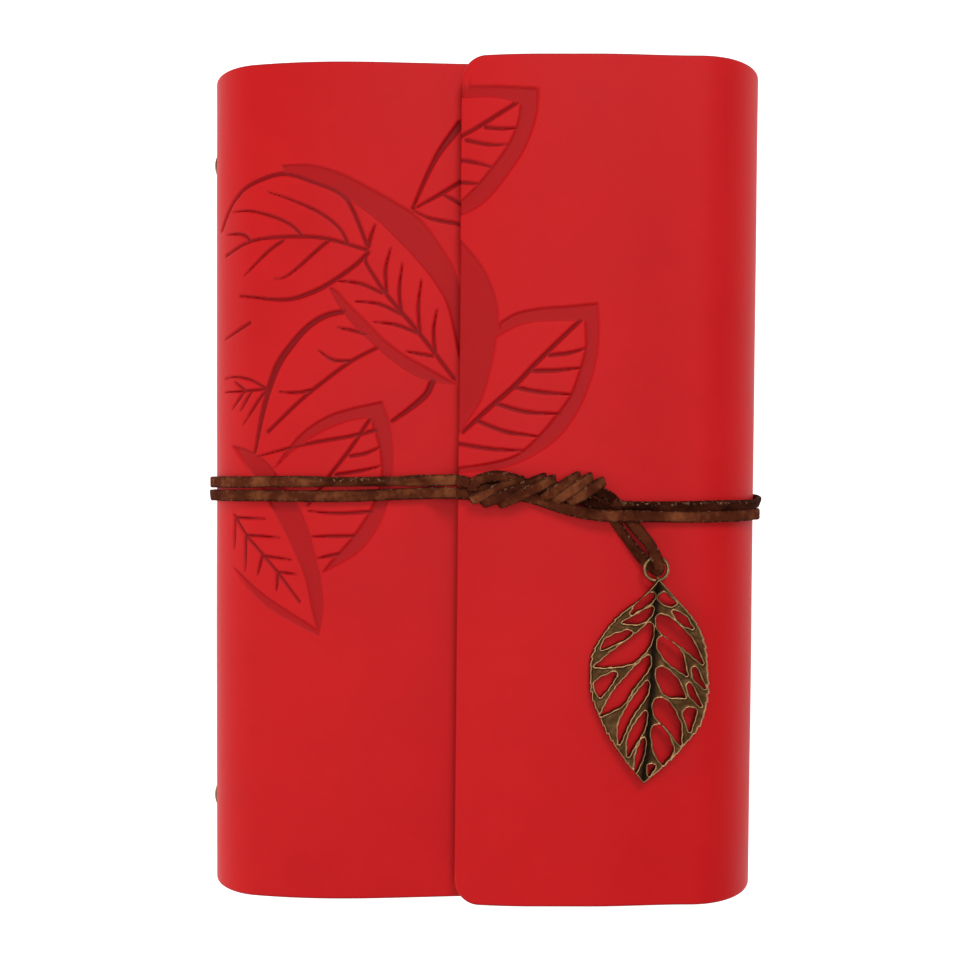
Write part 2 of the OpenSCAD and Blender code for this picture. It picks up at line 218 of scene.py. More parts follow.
def store(piece, name, values):
    """Keep one number for each point of a piece, for its material to read."""
    layer = piece.data.attributes.new(name, "FLOAT", "POINT")
    layer.data.foreach_set("value", np.asarray(values, np.float32))


def slab_faces(top, count):
    """Faces of a closed sheet whose underside repeats the top's points, count places on."""
    edges = {(a, b) for face in top for a, b in zip(face, face[1:] + face[:1])}
    walls = [[b, a, a + count, b + count] for a, b in sorted(edges) if (b, a) not in edges]
    return top + [[i + count for i in reversed(face)] for face in top] + walls


def quarter_turns(centres, radius, angles):
    """Round corners about four centres, anticlockwise from the first quadrant."""
    return [[(x + radius * math.cos(a), y + radius * math.sin(a))
             for a in np.radians(np.array(angles) + 90 * k)]
            for k, (x, y) in enumerate(centres)]


def grid_faces(rows, columns, first=0, flip=False):
    """Quads over points numbered row by row from first."""
    index = first + np.arange(rows * columns).reshape(rows, columns)
    quads = np.stack([index[:-1, :-1], index[:-1, 1:], index[1:, 1:], index[1:, :-1]], -1)
    quads = quads.reshape(-1, 4)
    return (quads[:, ::-1] if flip else quads).tolist()


def curve_through(points, spacing=0.5):
    """A Catmull-Rom curve through a few points, in as many dimensions as they have."""
    points = np.asarray(points, float)
    ends = 2 * points[[0, -1]] - points[[1, -2]]
    padded = np.concatenate([ends[:1], points, ends[1:]])
    out = []
    for a, b, c, d in zip(padded, padded[1:], padded[2:], padded[3:]):
        count = max(2, int(np.linalg.norm(c - b) / spacing))
        u = np.linspace(0, 1, count, endpoint=False)[:, None]
        bend = 2 * a - 5 * b + 4 * c - d + u * (3 * (b - c) + d - a)
        out.append(b + 0.5 * u * (c - a + u * bend))
    return np.concatenate(out + [points[-1:]])


def unit(vectors):
    """The same directions, each one long."""
    return vectors / np.linalg.norm(vectors, axis=1)[:, None]


def spaced(*stretches):
    """Places along a line: each stretch is (start, end, spacing)."""
    parts = [np.linspace(a, b, max(1, round(abs(b - a) / step)), endpoint=False)
             for a, b, step in stretches]
    return np.concatenate(parts + [[stretches[-1][1]]])


# ---- embossed leaves ----

PRESS_DEPTH = 0.5
PRESS_WALL = 0.36
AREA_SHADE = 0.46     # broad pressed areas darken less than narrow grooves, whose extra darkness is painted shade


def segments_nearest(x, y, path):
    """Distance from each point to a path, and how far along the path its nearest place is."""
    best = np.full(x.shape, 1e9)
    along_path = np.zeros(x.shape)
    count = len(path) - 1
    for i, (a, b) in enumerate(zip(path, path[1:])):
        v = b - a
        t = np.clip(((x - a[0]) * v[0] + (y - a[1]) * v[1]) / max(v @ v, 1e-9), 0, 1)
        gap = np.hypot(x - a[0] - t * v[0], y - a[1] - t * v[1])
        closer = gap < best
        best[closer] = gap[closer]
        along_path[closer] = ((i + t) / count)[closer]
    return best, along_path


def stroke_inside(x, y, path, widths):
    """Distance inside a stroke whose width changes along it."""
    gap, u = segments_nearest(x, y, path)
    return np.interp(u, (0, 0.5, 1), widths) / 2 - gap


def area_inside(x, y, path):
    """Distance inside a closed outline."""
    loop = np.concatenate([path, path[:1]])
    gap, _ = segments_nearest(x, y, loop)
    odd = np.zeros(x.shape, bool)
    for a, b in zip(loop, loop[1:]):
        crosses = (a[1] > y) != (b[1] > y)
        run = (b[0] - a[0]) / (b[1] - a[1] if b[1] != a[1] else 1e-9)
        odd ^= crosses & (x < a[0] + (y - a[1]) * run)
    return np.where(odd, gap, -gap)


class Plan:
    """Narrow strokes and broad areas drawn in plan, such as tools pressed into leather."""

    def __init__(self):
        self.tools = []

    def stroke(self, points, start, middle, end):
        """A groove whose width changes from its start, through its middle, to its end."""
        self.tools.append((curve_through(points), (start, middle, end)))

    def area(self, *sides):
        """A pressed area bounded by smooth sides that meet in corners."""
        self.tools.append((np.concatenate([curve_through(side) for side in sides]), None))

    def veins(self, width, *paths):
        """Fine grooves that narrow towards their far ends."""
        for path in paths:
            self.stroke(path, width, width, 0.4 * width)

    def reach(self, x, y, strokes):
        """Distance inside the nearest stroke, or area if strokes is False; negative outside."""
        out = np.full(x.shape, -9.0)
        for path, widths in self.tools:
            if (widths is not None) != strokes:
                continue
            margin = 1 + (max(widths) if widths else 0)
            low, high = path.min(0) - margin, path.max(0) + margin
            near = (x > low[0]) & (x < high[0]) & (y > low[1]) & (y < high[1])
            if near.any():
                there = x[near], y[near], path
                inside = stroke_inside(*there, widths) if widths else area_inside(*there)
                out[near] = np.maximum(out[near], inside)
        return out

    def pressed(self, x, y):
        """Share of the full depth at each place, and how dark the leather is there: the tool's own
        darkening, with painted shade deepening the narrow grooves.
        """
        strokes, areas = (smooth(self.reach(x, y, kind) / PRESS_WALL + 0.5)
                          for kind in (True, False))
        return np.maximum(strokes, areas), np.maximum(strokes, AREA_SHADE * areas)


def leaves_on_front():
    emboss = Plan()
    # The broad leaf at the spine
    emboss.stroke(
        [(-59.6, 56.8), (-58, 59.7), (-55.8, 62.8), (-52, 65.7), (-44.6, 67.8), (-38, 66),
         (-31.6, 63.2), (-28.9, 59.7), (-25.5, 51.4)], 0.6, 0.9, 0.7)
    emboss.stroke(
        [(-25.4, 50.2), (-28.3, 47.4), (-33.3, 43.8), (-38.2, 41.3), (-44.3, 39.9), (-54.4, 41.1)],
        0.7, 0.9, 0.4)
    emboss.stroke(
        [(-58.2, 50.7), (-52, 53.1), (-45.4, 53.8), (-35.5, 53.4), (-25.6, 50.7)], 0.5, 0.7, 0.7)
    emboss.veins(
        0.6, [(-30, 52.5), (-31.9, 55.6), (-36.2, 59), (-42.6, 62), (-47.9, 63.9)],
        [(-39.9, 53.7), (-42.8, 56.5), (-47, 58.5), (-52, 59.9), (-56.1, 60.2)],
        [(-52, 53.1), (-53.8, 54.8), (-57.8, 55.4)],
        [(-34, 53), (-37.1, 50.4), (-41.5, 46.6), (-44.3, 44.8), (-46.5, 44.6)],
        [(-44.5, 53), (-47.6, 50.9), (-50.9, 47.9), (-53.4, 45.6)])
    # The crescent over it, which runs on under the flap's edge
    emboss.area(
        [(-44.8, 69.7), (-38.2, 69.6), (-31.6, 67.7), (-25, 64.4), (-19.5, 61.4), (-13.5, 57.2),
         (-7.1, 48), (-3.6, 40)],
        [(-3.6, 40), (-4.6, 26), (-7.7, 38), (-10.2, 42.9), (-14, 47.9), (-18.4, 52.6), (-23.9, 57.8),
         (-31.6, 63), (-37.1, 66), (-44, 67.9)])
    # The long leaf under the crescent
    emboss.stroke(
        [(-25.7, 50.2), (-26, 48.2), (-23.9, 44.6), (-21.2, 40.7), (-14, 32.2), (-6.4, 22.4)],
        0.6, 0.8, 0.7)
    emboss.veins(
        0.65, [(-25.3, 51.8), (-24.8, 54), (-23.9, 56.4)],
        [(-21.4, 41.6), (-21.6, 46.5), (-20.5, 51.2)], [(-18.1, 36.9), (-18.6, 42), (-17.9, 47.9)],
        [(-14, 32.2), (-14.4, 38.5), (-13.7, 44.3)], [(-10.6, 27.8), (-11, 33), (-10.3, 37.7)])
    emboss.veins(
        0.65, [(-22.5, 41.3), (-27.2, 43.3), (-32.2, 43.9)],
        [(-18.1, 36.6), (-23, 38.8), (-28.3, 39.4)], [(-14.6, 32.5), (-19.5, 34.3), (-24.2, 34.8)],
        [(-11.3, 27.4), (-14.3, 27.9), (-17, 28.4)])
    emboss.area(
        [(-34.4, 43), (-32.2, 41.6), (-30, 39.1), (-26.1, 35.2), (-21.7, 30.8), (-17.3, 27.5),
         (-12.4, 24.8), (-6, 21.2)],
        [(-6, 21.2), (-10.7, 21.7), (-15.1, 23.1), (-19.5, 25.9), (-23.4, 29.2), (-28.3, 33.8),
         (-31.6, 38), (-34.4, 43)])
    # The plain leaf behind
    emboss.stroke(
        [(-30.8, 37.2), (-34.9, 36.2), (-38.8, 33.8), (-42.6, 29.7), (-45.9, 24.8), (-48.7, 16.5),
         (-50.9, 6.1)], 1.0, 1.5, 0.5)
    emboss.stroke(
        [(-23.4, 29.2), (-29.1, 26.2), (-34.9, 22), (-40.4, 17.6), (-47.9, 10.6)], 0.6, 0.7, 0.6)
    emboss.veins(
        0.65, [(-29.1, 26.2), (-33.3, 26.5), (-36.5, 28.6)],
        [(-26.1, 32.2), (-29.1, 33), (-32.2, 33.6)], [(-38, 19.8), (-41.5, 19.3), (-45.4, 19.5)])
    emboss.stroke([(-11.3, 21.8), (-12.6, 19), (-15.7, 16.2), (-20.2, 12.9)], 1.3, 1.1, 0.6)
    # The leaf that the lace crosses
    emboss.area(
        [(-46.8, 2), (-43.7, 6.3), (-39.9, 10.5), (-34.9, 13.8), (-29.4, 15.7), (-22.3, 17.3)],
        [(-22.3, 17.3), (-20.6, 11.6), (-20, 4), (-21.2, -5), (-23.9, -11.6), (-28.3, -16.5),
         (-35.7, -20.6)],
        [(-35.7, -20.6), (-33.3, -17.6), (-29.4, -13.2), (-25.6, -7.7), (-23.1, -2.2), (-22.5, 2.2),
         (-23.1, 7.7), (-25, 13.8)],
        [(-25, 13.8), (-30, 12.9), (-34.9, 11), (-39.3, 8.5), (-42.6, 6), (-46.8, 2)])
    emboss.stroke([(-25, 13.5), (-29.4, 6.8), (-33.8, 1.1), (-38.8, -5.5)], 0.6, 0.7, 0.4)
    emboss.veins(
        0.7, [(-23.6, 11), (-29.4, 9.6), (-37.1, 8.3), (-43.7, 6.9), (-50.1, 5.2)],
        [(-29.4, 5.2), (-26.1, 5.8), (-22.9, 7.2)], [(-32.7, 1.1), (-27.8, 1.8), (-22.7, 3)],
        [(-24.6, -7), (-32.2, -7.4), (-38.8, -6.9)], [(-28.6, -12.4), (-38, -12.5)],
        [(-32, -16.4), (-36.6, -17.3)])
    # The leaf at the foot, with a broad diagonal band
    emboss.area(
        [(-56.6, 7.8), (-52, 6.4), (-47.6, 3.3), (-44.6, -1), (-41.2, -5)],
        [(-41.2, -5), (-38.8, -11), (-37.1, -17.1), (-35.8, -23.1), (-35.5, -29.2), (-36.4, -34.5)],
        [(-36.4, -34.5), (-38, -28.1), (-39.3, -22), (-41.5, -16.5), (-44.8, -9.9), (-49.6, -1.5),
         (-52.6, 2.6), (-56.6, 7.8)])
    emboss.area(
        [(-56.4, -19.2), (-53.1, -23.4), (-48.7, -27.8), (-43.2, -31.1), (-36.4, -34.5)],
        [(-36.4, -34.5), (-37.7, -32.5), (-43.7, -28.8), (-49.2, -25.2), (-56.4, -19.2)])
    emboss.stroke(
        [(-56, -7.8), (-53.1, -12.1), (-49.2, -16.5), (-45.4, -20.9), (-40.7, -27)], 0.5, 0.6, 0.5)
    emboss.veins(
        0.55, [(-55.4, -8.4), (-48.4, -8.6)], [(-52.8, -12.3), (-45.1, -12.8)],
        [(-48.8, -16.9), (-42.6, -17.7)], [(-45.9, -20.4), (-41.3, -20.9)],
        [(-55.8, -8.8), (-56, -15.4)], [(-53.1, -12.6), (-53.2, -20.4)],
        [(-49.2, -16.8), (-50.3, -21.2)], [(-45.7, -21), (-45.9, -24.5)])
    # Small leaf and stems at the spine
    emboss.veins(
        0.55, [(-48.5, 20.4), (-52, 22.3), (-55.8, 23.1), (-58.4, 22.9)],
        [(-48.5, 20.2), (-53.1, 19.8), (-58.4, 19.8)], [(-48.4, 19.8), (-50.3, 17.3), (-53.6, 12.4)],
        [(-53.1, 19.8), (-55.8, 22)], [(-53.4, 19.8), (-56.4, 16)], [(-51.6, 19.9), (-54.4, 15.4)],
        [(-52, 35), (-55.3, 33.3), (-58.4, 31.8)])
    # On the cover: the part of the upper leaf left of the flap's edge
    emboss.stroke([(-15.7, 60), (-12.4, 67.6), (-9.5, 73), (-5, 79)], 0.5, 0.9, 1.8)
    emboss.veins(
        0.75, [(-4, 66.8), (-9.6, 63.3), (-15.4, 60)], [(-5, 61.4), (-9.1, 63.3)],
        [(-4, 56.6), (-11.3, 57.8), (-15.4, 59.5)])
    return emboss


def leaves_on_flap():
    emboss = Plan()
    # The crescent's outer part and two leaves that cross the flap's edge
    emboss.area(
        [(-6, 53.4), (-0.8, 47), (1.9, 41.6), (3.1, 36.7), (2.9, 31.6), (1.4, 23.8), (-0.8, 16.9),
         (-6.5, 8.6)], [(-6.5, 8.6), (-9, 30), (-6, 53.4)])
    emboss.area(
        [(-7, 85.9), (2, 85.6), (11.9, 84.8)],
        [(11.9, 84.8), (11.4, 78.9), (8.9, 71.9), (4.6, 65.4), (0.3, 60.5), (-3.8, 58.1), (-7, 57.4)],
        [(-7, 59.4), (-4.5, 61.3), (-1.3, 64.3), (1.9, 68.1), (5.1, 72.4), (7.3, 77.3), (8, 81.6)],
        [(8, 81.6), (4.1, 82.8), (-0.3, 83.3), (-7, 83.2)])
    emboss.stroke([(-6, 74.4), (-0.3, 77.3), (7.3, 81.8)], 0.7, 0.8, 0.7)
    emboss.veins(
        0.7, [(0.3, 76.6), (4, 76.2), (7.4, 76.3)], [(-3.8, 74), (0.8, 72.9), (5.4, 72.7)],
        [(-6, 70), (-1.3, 68.9), (2, 67.8)], [(-6, 65), (-1, 64.4)])
    emboss.area(
        [(3.5, 34.1), (7, 36.1), (12.2, 37.2), (18.7, 37.7), (24.8, 38.3)],
        [(24.8, 38.3), (25, 32.4), (24.5, 26.4), (22.5, 19.5), (19.5, 13.4), (15.6, 8.6), (10, 4.8),
         (3.5, 2.4), (-6.4, 1.4)],
        [(-6.4, 2.6), (1.4, 3.7), (7, 5.4), (11.3, 8.9), (15.2, 13.4), (18.7, 18.2), (20.8, 23.8),
         (22.1, 29), (21.9, 34.5)], [(21.9, 34.5), (13.5, 34.4), (9.1, 33.9), (5.7, 32.6), (2.7, 30.9)])
    emboss.stroke([(-4.6, 10.4), (1.4, 15.8), (6.6, 20.3), (12.2, 26.1), (21, 34.6)], 0.8, 0.9, 0.8)
    emboss.veins(
        0.8, [(14.3, 27), (18.2, 27.4), (22.2, 28.5)], [(10.7, 23.6), (15.6, 23.7), (21.2, 24.3)],
        [(6.6, 20.1), (12.2, 19), (19, 18.5)], [(2.4, 16.6), (9.1, 14.7), (16.8, 14.3)],
        [(-1.2, 12.7), (4.8, 10.4), (12.6, 9.3)], [(-6.4, 8), (1.4, 6.7), (9, 6.3)])
    return emboss


# ---- materials ----

class Shader:
    """A short way to write a material's nodes."""

    def __init__(self, name):
        self.material = bpy.data.materials.new(name)
        self.material.use_nodes = True
        self.nodes = self.material.node_tree.nodes
        self.links = self.material.node_tree.links
        self.surface = self.nodes["Principled BSDF"]

    def add(self, kind, settings=None, **inputs):
        node = self.nodes.new("ShaderNode" + kind)
        for key, value in (settings or {}).items():
            setattr(node, key, value)
        for key, value in inputs.items():
            self.feed(node, key.replace("_", " "), value)
        return node

    def feed(self, node, socket, value):
        """Set a socket, or link it if the value is another node's output."""
        target = node.inputs[int(socket) if socket.isdigit() else socket]
        if isinstance(value, bpy.types.NodeSocket):
            self.links.new(value, target)
        else:
            target.default_value = value

    def set(self, **inputs):
        for key, value in inputs.items():
            self.feed(self.surface, key.replace("_", " "), value)

    def place(self):
        return self.add("TexCoord").outputs["Object"]

    def stored(self, name):
        return self.add("Attribute", {"attribute_name": name}).outputs["Fac"]

    def noise(self, scale, detail=2.0, roughness=0.5):
        return self.add("TexNoise", Vector=self.place(), Scale=scale, Detail=detail,
                        Roughness=roughness).outputs["Fac"]

    def ramp(self, fac, *stops):
        """A colour or grey ramp: each stop is (place, colour or grey)."""
        node = self.add("ValToRGB", Fac=fac)
        elements = node.color_ramp.elements
        while len(elements) < len(stops):
            elements.new(0.5)
        for element, (at, colour) in zip(elements, stops):
            element.position = at
            element.color = (*((colour,) * 3 if isinstance(colour, float) else colour), 1)
        return node.outputs["Color"]

    def mix(self, fac, a, b):
        node = self.add("Mix", {"data_type": "RGBA"})
        for socket, value in zip((0, 6, 7), (fac, a, b)):
            if isinstance(value, tuple):
                value = (*value, 1)
            self.feed(node, str(socket), value)
        return node.outputs[2]

    def times(self, a, b):
        return self.maths("MULTIPLY", a, b)

    def maths(self, operation, a, b):
        node = self.add("Math", {"operation": operation})
        self.feed(node, "0", a)
        self.feed(node, "1", b)
        return node.outputs["Value"]

    def bump(self, height, distance, strength=1.0, normal=None):
        node = self.add("Bump", Height=height, Distance=distance, Strength=strength)
        if normal is not None:
            self.links.new(normal, node.inputs["Normal"])
        return node.outputs["Normal"]


def leather_material():
    """Smooth dyed leather: fine pebbled grain, darker where a tool has pressed it, and in the narrow
    grooves darker still with painted shade.
    """
    s = Shader("red_leather")
    mottle = s.noise(38, 5, 0.62)
    cloud = s.noise(9, 2)
    colour = s.ramp(mottle, (0.3, (0.55, 0.006, 0.008)), (0.72, (0.63, 0.009, 0.011)))
    colour = s.mix(s.ramp(cloud, (0.35, 0.0), (0.7, 0.45)), colour, (0.585, 0.005, 0.007))
    # The tool darkens pressed leather; in the narrow grooves this darkening is also painted shade
    pressed = s.stored("pressed")
    colour = s.mix(s.times(pressed, 0.9), colour, (0.21, 0.001, 0.003))
    colour = s.mix(s.times(s.stored("burnt"), 0.85), colour, (0.1, 0.012, 0.012))
    grain = s.add("TexVoronoi", {"feature": "DISTANCE_TO_EDGE"}, Vector=s.place(), Scale=2300.0)
    creases = s.ramp(grain.outputs["Distance"], (0.0, 0.0), (0.16, 1.0))
    pores = s.noise(5200, 2)
    normal = s.bump(creases, 0.00004, 0.16)
    normal = s.bump(pores, 0.00003, 0.2, normal)
    normal = s.bump(mottle, 0.0005, 0.07, normal)
    rough = s.ramp(mottle, (0.3, 0.5), (0.7, 0.58))
    s.set(Base_Color=colour, Roughness=rough, Normal=normal, Specular_IOR_Level=0.15)
    return s.material


def cut_edge_material():
    """The leather's cut edge: dark, fibrous."""
    s = Shader("cut_edge")
    fibre = s.noise(900, 4, 0.7)
    s.set(Base_Color=s.ramp(fibre, (0.3, (0.05, 0.008, 0.008)), (0.7, (0.16, 0.022, 0.02))),
          Roughness=0.85, Normal=s.bump(fibre, 0.0002, 0.6))
    return s.material


def lining_material():
    """The leather's inner face: a matt brushed backing."""
    s = Shader("lining")
    nap = s.noise(1500, 5, 0.7)
    cloud = s.noise(60, 3)
    colour = s.ramp(cloud, (0.3, (0.17, 0.03, 0.026)), (0.7, (0.24, 0.045, 0.038)))
    s.set(Base_Color=colour, Roughness=0.95, Normal=s.bump(nap, 0.00012, 0.6))
    return s.material


def lace_material():
    """Suede lace: brown flats with a nap, and dark edges flecked with paler fibres."""
    s = Shader("suede_lace")
    nap = s.noise(1700, 6, 0.75)
    patch = s.times(s.maths("SUBTRACT", s.noise(190, 5, 0.65), 0.5), 1.9)
    tone = s.maths("ADD", s.times(s.stored("tone"), 0.9), patch)
    colour = s.ramp(tone, (0.0, (0.018, 0.0035, 0.0018)), (0.55, (0.095, 0.021, 0.0085)),
                    (1.0, (0.27, 0.08, 0.03)))
    colour = s.mix(s.ramp(nap, (0.42, 0.0), (0.75, 0.3)), colour, (0.12, 0.026, 0.01))
    colour = s.mix(s.times(s.stored("edge"), 0.65), colour, (0.016, 0.004, 0.0025))
    frayed = s.ramp(s.noise(1300, 4, 0.75), (0.56, 0.0), (0.63, 0.8))
    fleck = s.times(s.stored("edge"), frayed)
    colour = s.mix(fleck, colour, (0.3, 0.14, 0.075))
    s.set(Base_Color=colour, Roughness=0.95, Normal=s.bump(nap, 0.0003, 0.85),
          Specular_IOR_Level=0.03)
    return s.material


def bronze_material(stored_wear=True):
    """Antique bronze: dark patina in the hollows, rubbed bright on whatever stands proud."""
    s = Shader("antique_bronze" if stored_wear else "antique_wire")
    grime = s.noise(420, 5, 0.65)
    if stored_wear:
        uneven = s.times(s.maths("SUBTRACT", grime, 0.5), 0.5)
        wear = s.maths("ADD", s.stored("wear"), uneven)
    else:
        wear = s.ramp(grime, (0.25, 0.25), (0.7, 0.85))
    colour = s.ramp(wear, (0.05, (0.012, 0.006, 0.003)), (0.4, (0.08, 0.036, 0.011)),
                    (0.95, (0.5, 0.29, 0.13)))
    rough = s.ramp(wear, (0.2, 0.6), (0.9, 0.3))
    s.set(Base_Color=colour, Metallic=0.9, Roughness=rough, Normal=s.bump(grime, 0.0001, 0.35))
    return s.material


def steel_material():
    """Nickel-plated steel with a fine brushed grain and a few scuffs."""
    s = Shader("ring_steel")
    streak = s.add("Mapping", Vector=s.place(), Scale=(1.0, 0.06, 1.0)).outputs["Vector"]
    brushed = s.add("TexNoise", Vector=streak, Scale=2400.0, Detail=3.0).outputs["Fac"]
    scuffs = s.noise(260, 5, 0.7)
    colour = s.ramp(scuffs, (0.3, (0.45, 0.44, 0.42)), (0.7, (0.66, 0.65, 0.62)))
    s.set(Base_Color=colour, Metallic=1.0, Roughness=s.ramp(scuffs, (0.3, 0.2), (0.75, 0.36)),
          Normal=s.bump(brushed, 0.00002, 0.4))
    return s.material


def paper_material():
    """Cream writing paper: soft fibres and a faint cloudiness."""
    s = Shader("paper")
    fibre = s.noise(1300, 5, 0.7)
    cloud = s.noise(25, 3)
    colour = s.ramp(cloud, (0.3, (0.74, 0.68, 0.54)), (0.7, (0.83, 0.78, 0.65)))
    colour = s.mix(s.ramp(fibre, (0.45, 0.0), (0.8, 0.35)), colour, (0.64, 0.57, 0.43))
    s.set(Base_Color=colour, Roughness=0.88, Normal=s.bump(fibre, 0.00005, 0.4))
    return s.material


def floor_material():
    """A white floor that glows a little, so that it stays white round the book."""
    s = Shader("floor")
    s.set(Base_Color=s.ramp(s.noise(6, 2), (0.3, (0.9, 0.9, 0.9)), (0.7, (0.93, 0.93, 0.93))),
          Roughness=0.9, Emission_Color=(1.0, 1.0, 1.0, 1.0), Emission_Strength=0.6)
    return s.material


LEATHER, CUT_EDGE, LINING = leather_material(), cut_edge_material(), lining_material()


# ---- leather cover ----

EDGE_R = 0.5
BURNISH = 0.5         # the leather is darker this near its head and foot edges
UNEVEN = 0.12         # how far the outer face sinks at most
END_ROWS = np.array([0, 0.06, 0.16, 0.3, EDGE_R])
FINE = 0.3        # mesh spacing over the embossing and the lace channel
LINING_ROWS = np.linspace(-80, 80, 17)
OUTSIDE, EDGE, INSIDE = range(3)    # slots of a leather piece's three materials


def edge_drop(d):
    """How far the rounded cut edge has dropped, d inside the leather's outline."""
    u = 1 - np.clip(d, 0, EDGE_R) / EDGE_R
    return EDGE_R * (1 - np.sqrt(np.maximum(0, 1 - u * u)))


def swell(x, y, z):
    """A slight unevenness of hand-made leather, from 0 to 1, smooth over its place."""
    return 0.5 + 0.2 * (np.sin(x / 11 + np.sin(y / 17)) + np.sin(y / 13 + z / 9)) \
        + 0.1 * np.sin(x / 5.3 - y / 7.1)


def free_end_places(s):
    """Places along a sheet, set closer together at its rounded free end."""
    last = s[-1]
    turn = last - CORNER_R * (1 - np.cos(np.linspace(math.pi / 2, 0, 12)))
    s = np.sort(np.concatenate([s[s < last - EDGE_R], turn[:-1], last - END_ROWS]))
    return s[np.r_[np.diff(s) > 0.03, True]]


def margin_inside(y, half, to_end, free_end):
    """Distance inside a sheet's outline, which has rounded corners at a free end."""
    margin = half - np.abs(y)
    if not free_end:
        return margin
    round_x = CORNER_R - to_end
    round_y = np.abs(y) - (HALF_H - CORNER_R)
    in_corner = (round_x > 0) & (round_y > 0)
    return np.where(in_corner, CORNER_R - np.hypot(round_x, round_y), np.minimum(margin, to_end))


def shell_faces(outer_y, inner_y, columns, flip):
    """Faces of a closed sheet from its rows of places, and the material slot of each."""
    first_inner = len(outer_y) * columns
    faces = grid_faces(len(outer_y), columns, 0, flip)
    kinds = [OUTSIDE] * len(faces)
    inner_faces = grid_faces(len(inner_y), columns, first_inner, not flip)
    faces += inner_faces
    kinds += [INSIDE] * len(inner_faces)
    # Walls along head and foot, then the two ends
    for out_row, in_row, turn in ((0, 0, flip), (len(outer_y) - 1, len(inner_y) - 1, not flip)):
        a = out_row * columns + np.arange(columns)
        b = first_inner + in_row * columns + np.arange(columns)
        wall = np.stack([a[:-1], a[1:], b[1:], b[:-1]], -1)
        faces += (wall if turn else wall[:, ::-1]).tolist()
    at = np.searchsorted(outer_y, inner_y - 1e-6)
    for column, turn in ((0, not flip), (columns - 1, flip)):
        for i in range(len(inner_y) - 1):
            strip = [int(r) * columns + column for r in range(at[i], at[i + 1] + 1)]
            low = first_inner + i * columns + column
            loop = strip + [low + columns, low]
            faces.append(loop if turn else loop[::-1])
    return faces, kinds + [EDGE] * (len(faces) - len(kinds))


def leather_shell(name, line, stretches, rows, outward, free_end=False, relief=None, leans=None,
                  channel=None):
    """A closed sheet of leather over a line. Its last place is the free edge, if it has one.

    leans says how far the sheet's first and last places stand off in X, at each Y.
    channel says how deep the lace presses into it at each X, Y and length along the line.
    """
    s = spaced(*stretches)
    if free_end:
        s = free_end_places(s)
    to_end = s[-1] - s
    half = np.full(s.shape, HALF_H)
    if free_end:
        into = np.clip(CORNER_R - to_end, 0, CORNER_R)
        half = HALF_H - CORNER_R + np.sqrt(CORNER_R ** 2 - into ** 2)
    line_x, line_z = line.place(s)
    normal_x, normal_z = line.normal(s, outward)

    def layer(y_rows, outside):
        """One face of the sheet: its points, and how pressed (with painted shade in the narrow grooves)
        and how burnt each is.
        """
        y = y_rows[:, None] / HALF_H * half
        drop = edge_drop(np.maximum(margin_inside(y, half, to_end, free_end), 0))
        x, z = np.broadcast_to(line_x, y.shape), np.broadcast_to(line_z, y.shape)
        if leans is not None:
            far = smooth(s / s[-1])
            x = x + leans[0](y) * (1 - far) + leans[1](y) * far
        burnt = smooth(1 - (half - np.abs(y)) / BURNISH)
        pressed = np.zeros(y.shape)
        if outside:
            drop = drop + UNEVEN * swell(x, y, z)
            if relief is not None:
                facing = smooth((normal_z - 0.1) / 0.35)
                # The tool's darkening, with painted shade deepening the narrow grooves
                depth, tool_and_groove_shade = relief.pressed(x.ravel(), y.ravel())
                pressed = tool_and_groove_shade.reshape(y.shape) * facing
                drop = drop + PRESS_DEPTH * depth.reshape(y.shape) * facing
            if channel is not None:
                drop = drop + channel(x, y, s)
        else:
            drop = LEATHER_T - drop
        out = np.stack([x - normal_x * drop, y, z - normal_z * drop], -1)
        return out.reshape(-1, 3), pressed.ravel(), burnt.ravel()

    inner_rows = np.unique(np.concatenate([rows[:8], rows[-8:], LINING_ROWS]))
    outer, pressed, burnt = layer(rows, True)
    inner = layer(inner_rows, False)[0]
    faces, kinds = shell_faces(rows, inner_rows, len(s), outward < 0)
    points = np.concatenate([outer, inner])
    piece = new_mesh(name, points, faces, [LEATHER, CUT_EDGE, LINING], kinds)
    piece.data.set_sharp_from_angle(angle=math.radians(72))
    for layer_name, values in (("pressed", pressed), ("burnt", burnt)):
        store(piece, layer_name, np.concatenate([values, np.zeros(len(inner))]))
    return piece


def cover_rows(fine_low, fine_high):
    """Rows from foot to head: close together in one stretch and at both cut edges."""
    ends = HALF_H - END_ROWS
    body = spaced((-HALF_H + 1, fine_low, 1.5), (fine_low, fine_high, FINE),
                  (fine_high, HALF_H - 1, 1.5))
    return np.unique(np.round(np.concatenate([-ends, body, LINING_ROWS, ends]), 3))


def blended(piece, a, b, start, end):
    """Bake a piece's transform into its points; the bodies a and b, and start and end, (x, z) in
    millimetres, are not used.
    """
    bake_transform(piece)


def seam_ends(centre, radius, a0, a1):
    """Where the bend of a fold starts and ends, at two angles of its arc."""
    return arc(centre, radius, a0, a0)[0], arc(centre, radius, a1, a1)[0]


SPINE_TO_FRONT = seam_ends(SPINE_C, SPINE_R, 180 - PANEL_A, COVER_A)
BACK_TO_SPINE = seam_ends(SPINE_C, SPINE_R, 270, 180 + PANEL_A)
BACK_TO_FORE = seam_ends(FORE_C, FORE_R, -60, -15)     # its lower part stays clear of the pages
FORE_TO_FLAP = seam_ends(FORE_C, FORE_R, PANEL_A, 90)
FORE_LEAN = 0.0125    # how far out of true, for each millimetre of height
FLAP_LEAN, FLAP_SHIFT = 0.0094, -0.2
CHANNEL_DEPTH, CHANNEL_HALF_W = 0.4, 2.0


def fore_lean(y):
    """The cover is a little wider at its head than at its foot."""
    return FORE_LEAN * y


def flap_lean(y):
    """The flap's free edge is folded a little out of true."""
    return FLAP_LEAN * y + FLAP_SHIFT


def no_lean(y):
    """Where two sheets meet behind the book, neither leans."""
    return 0 * y


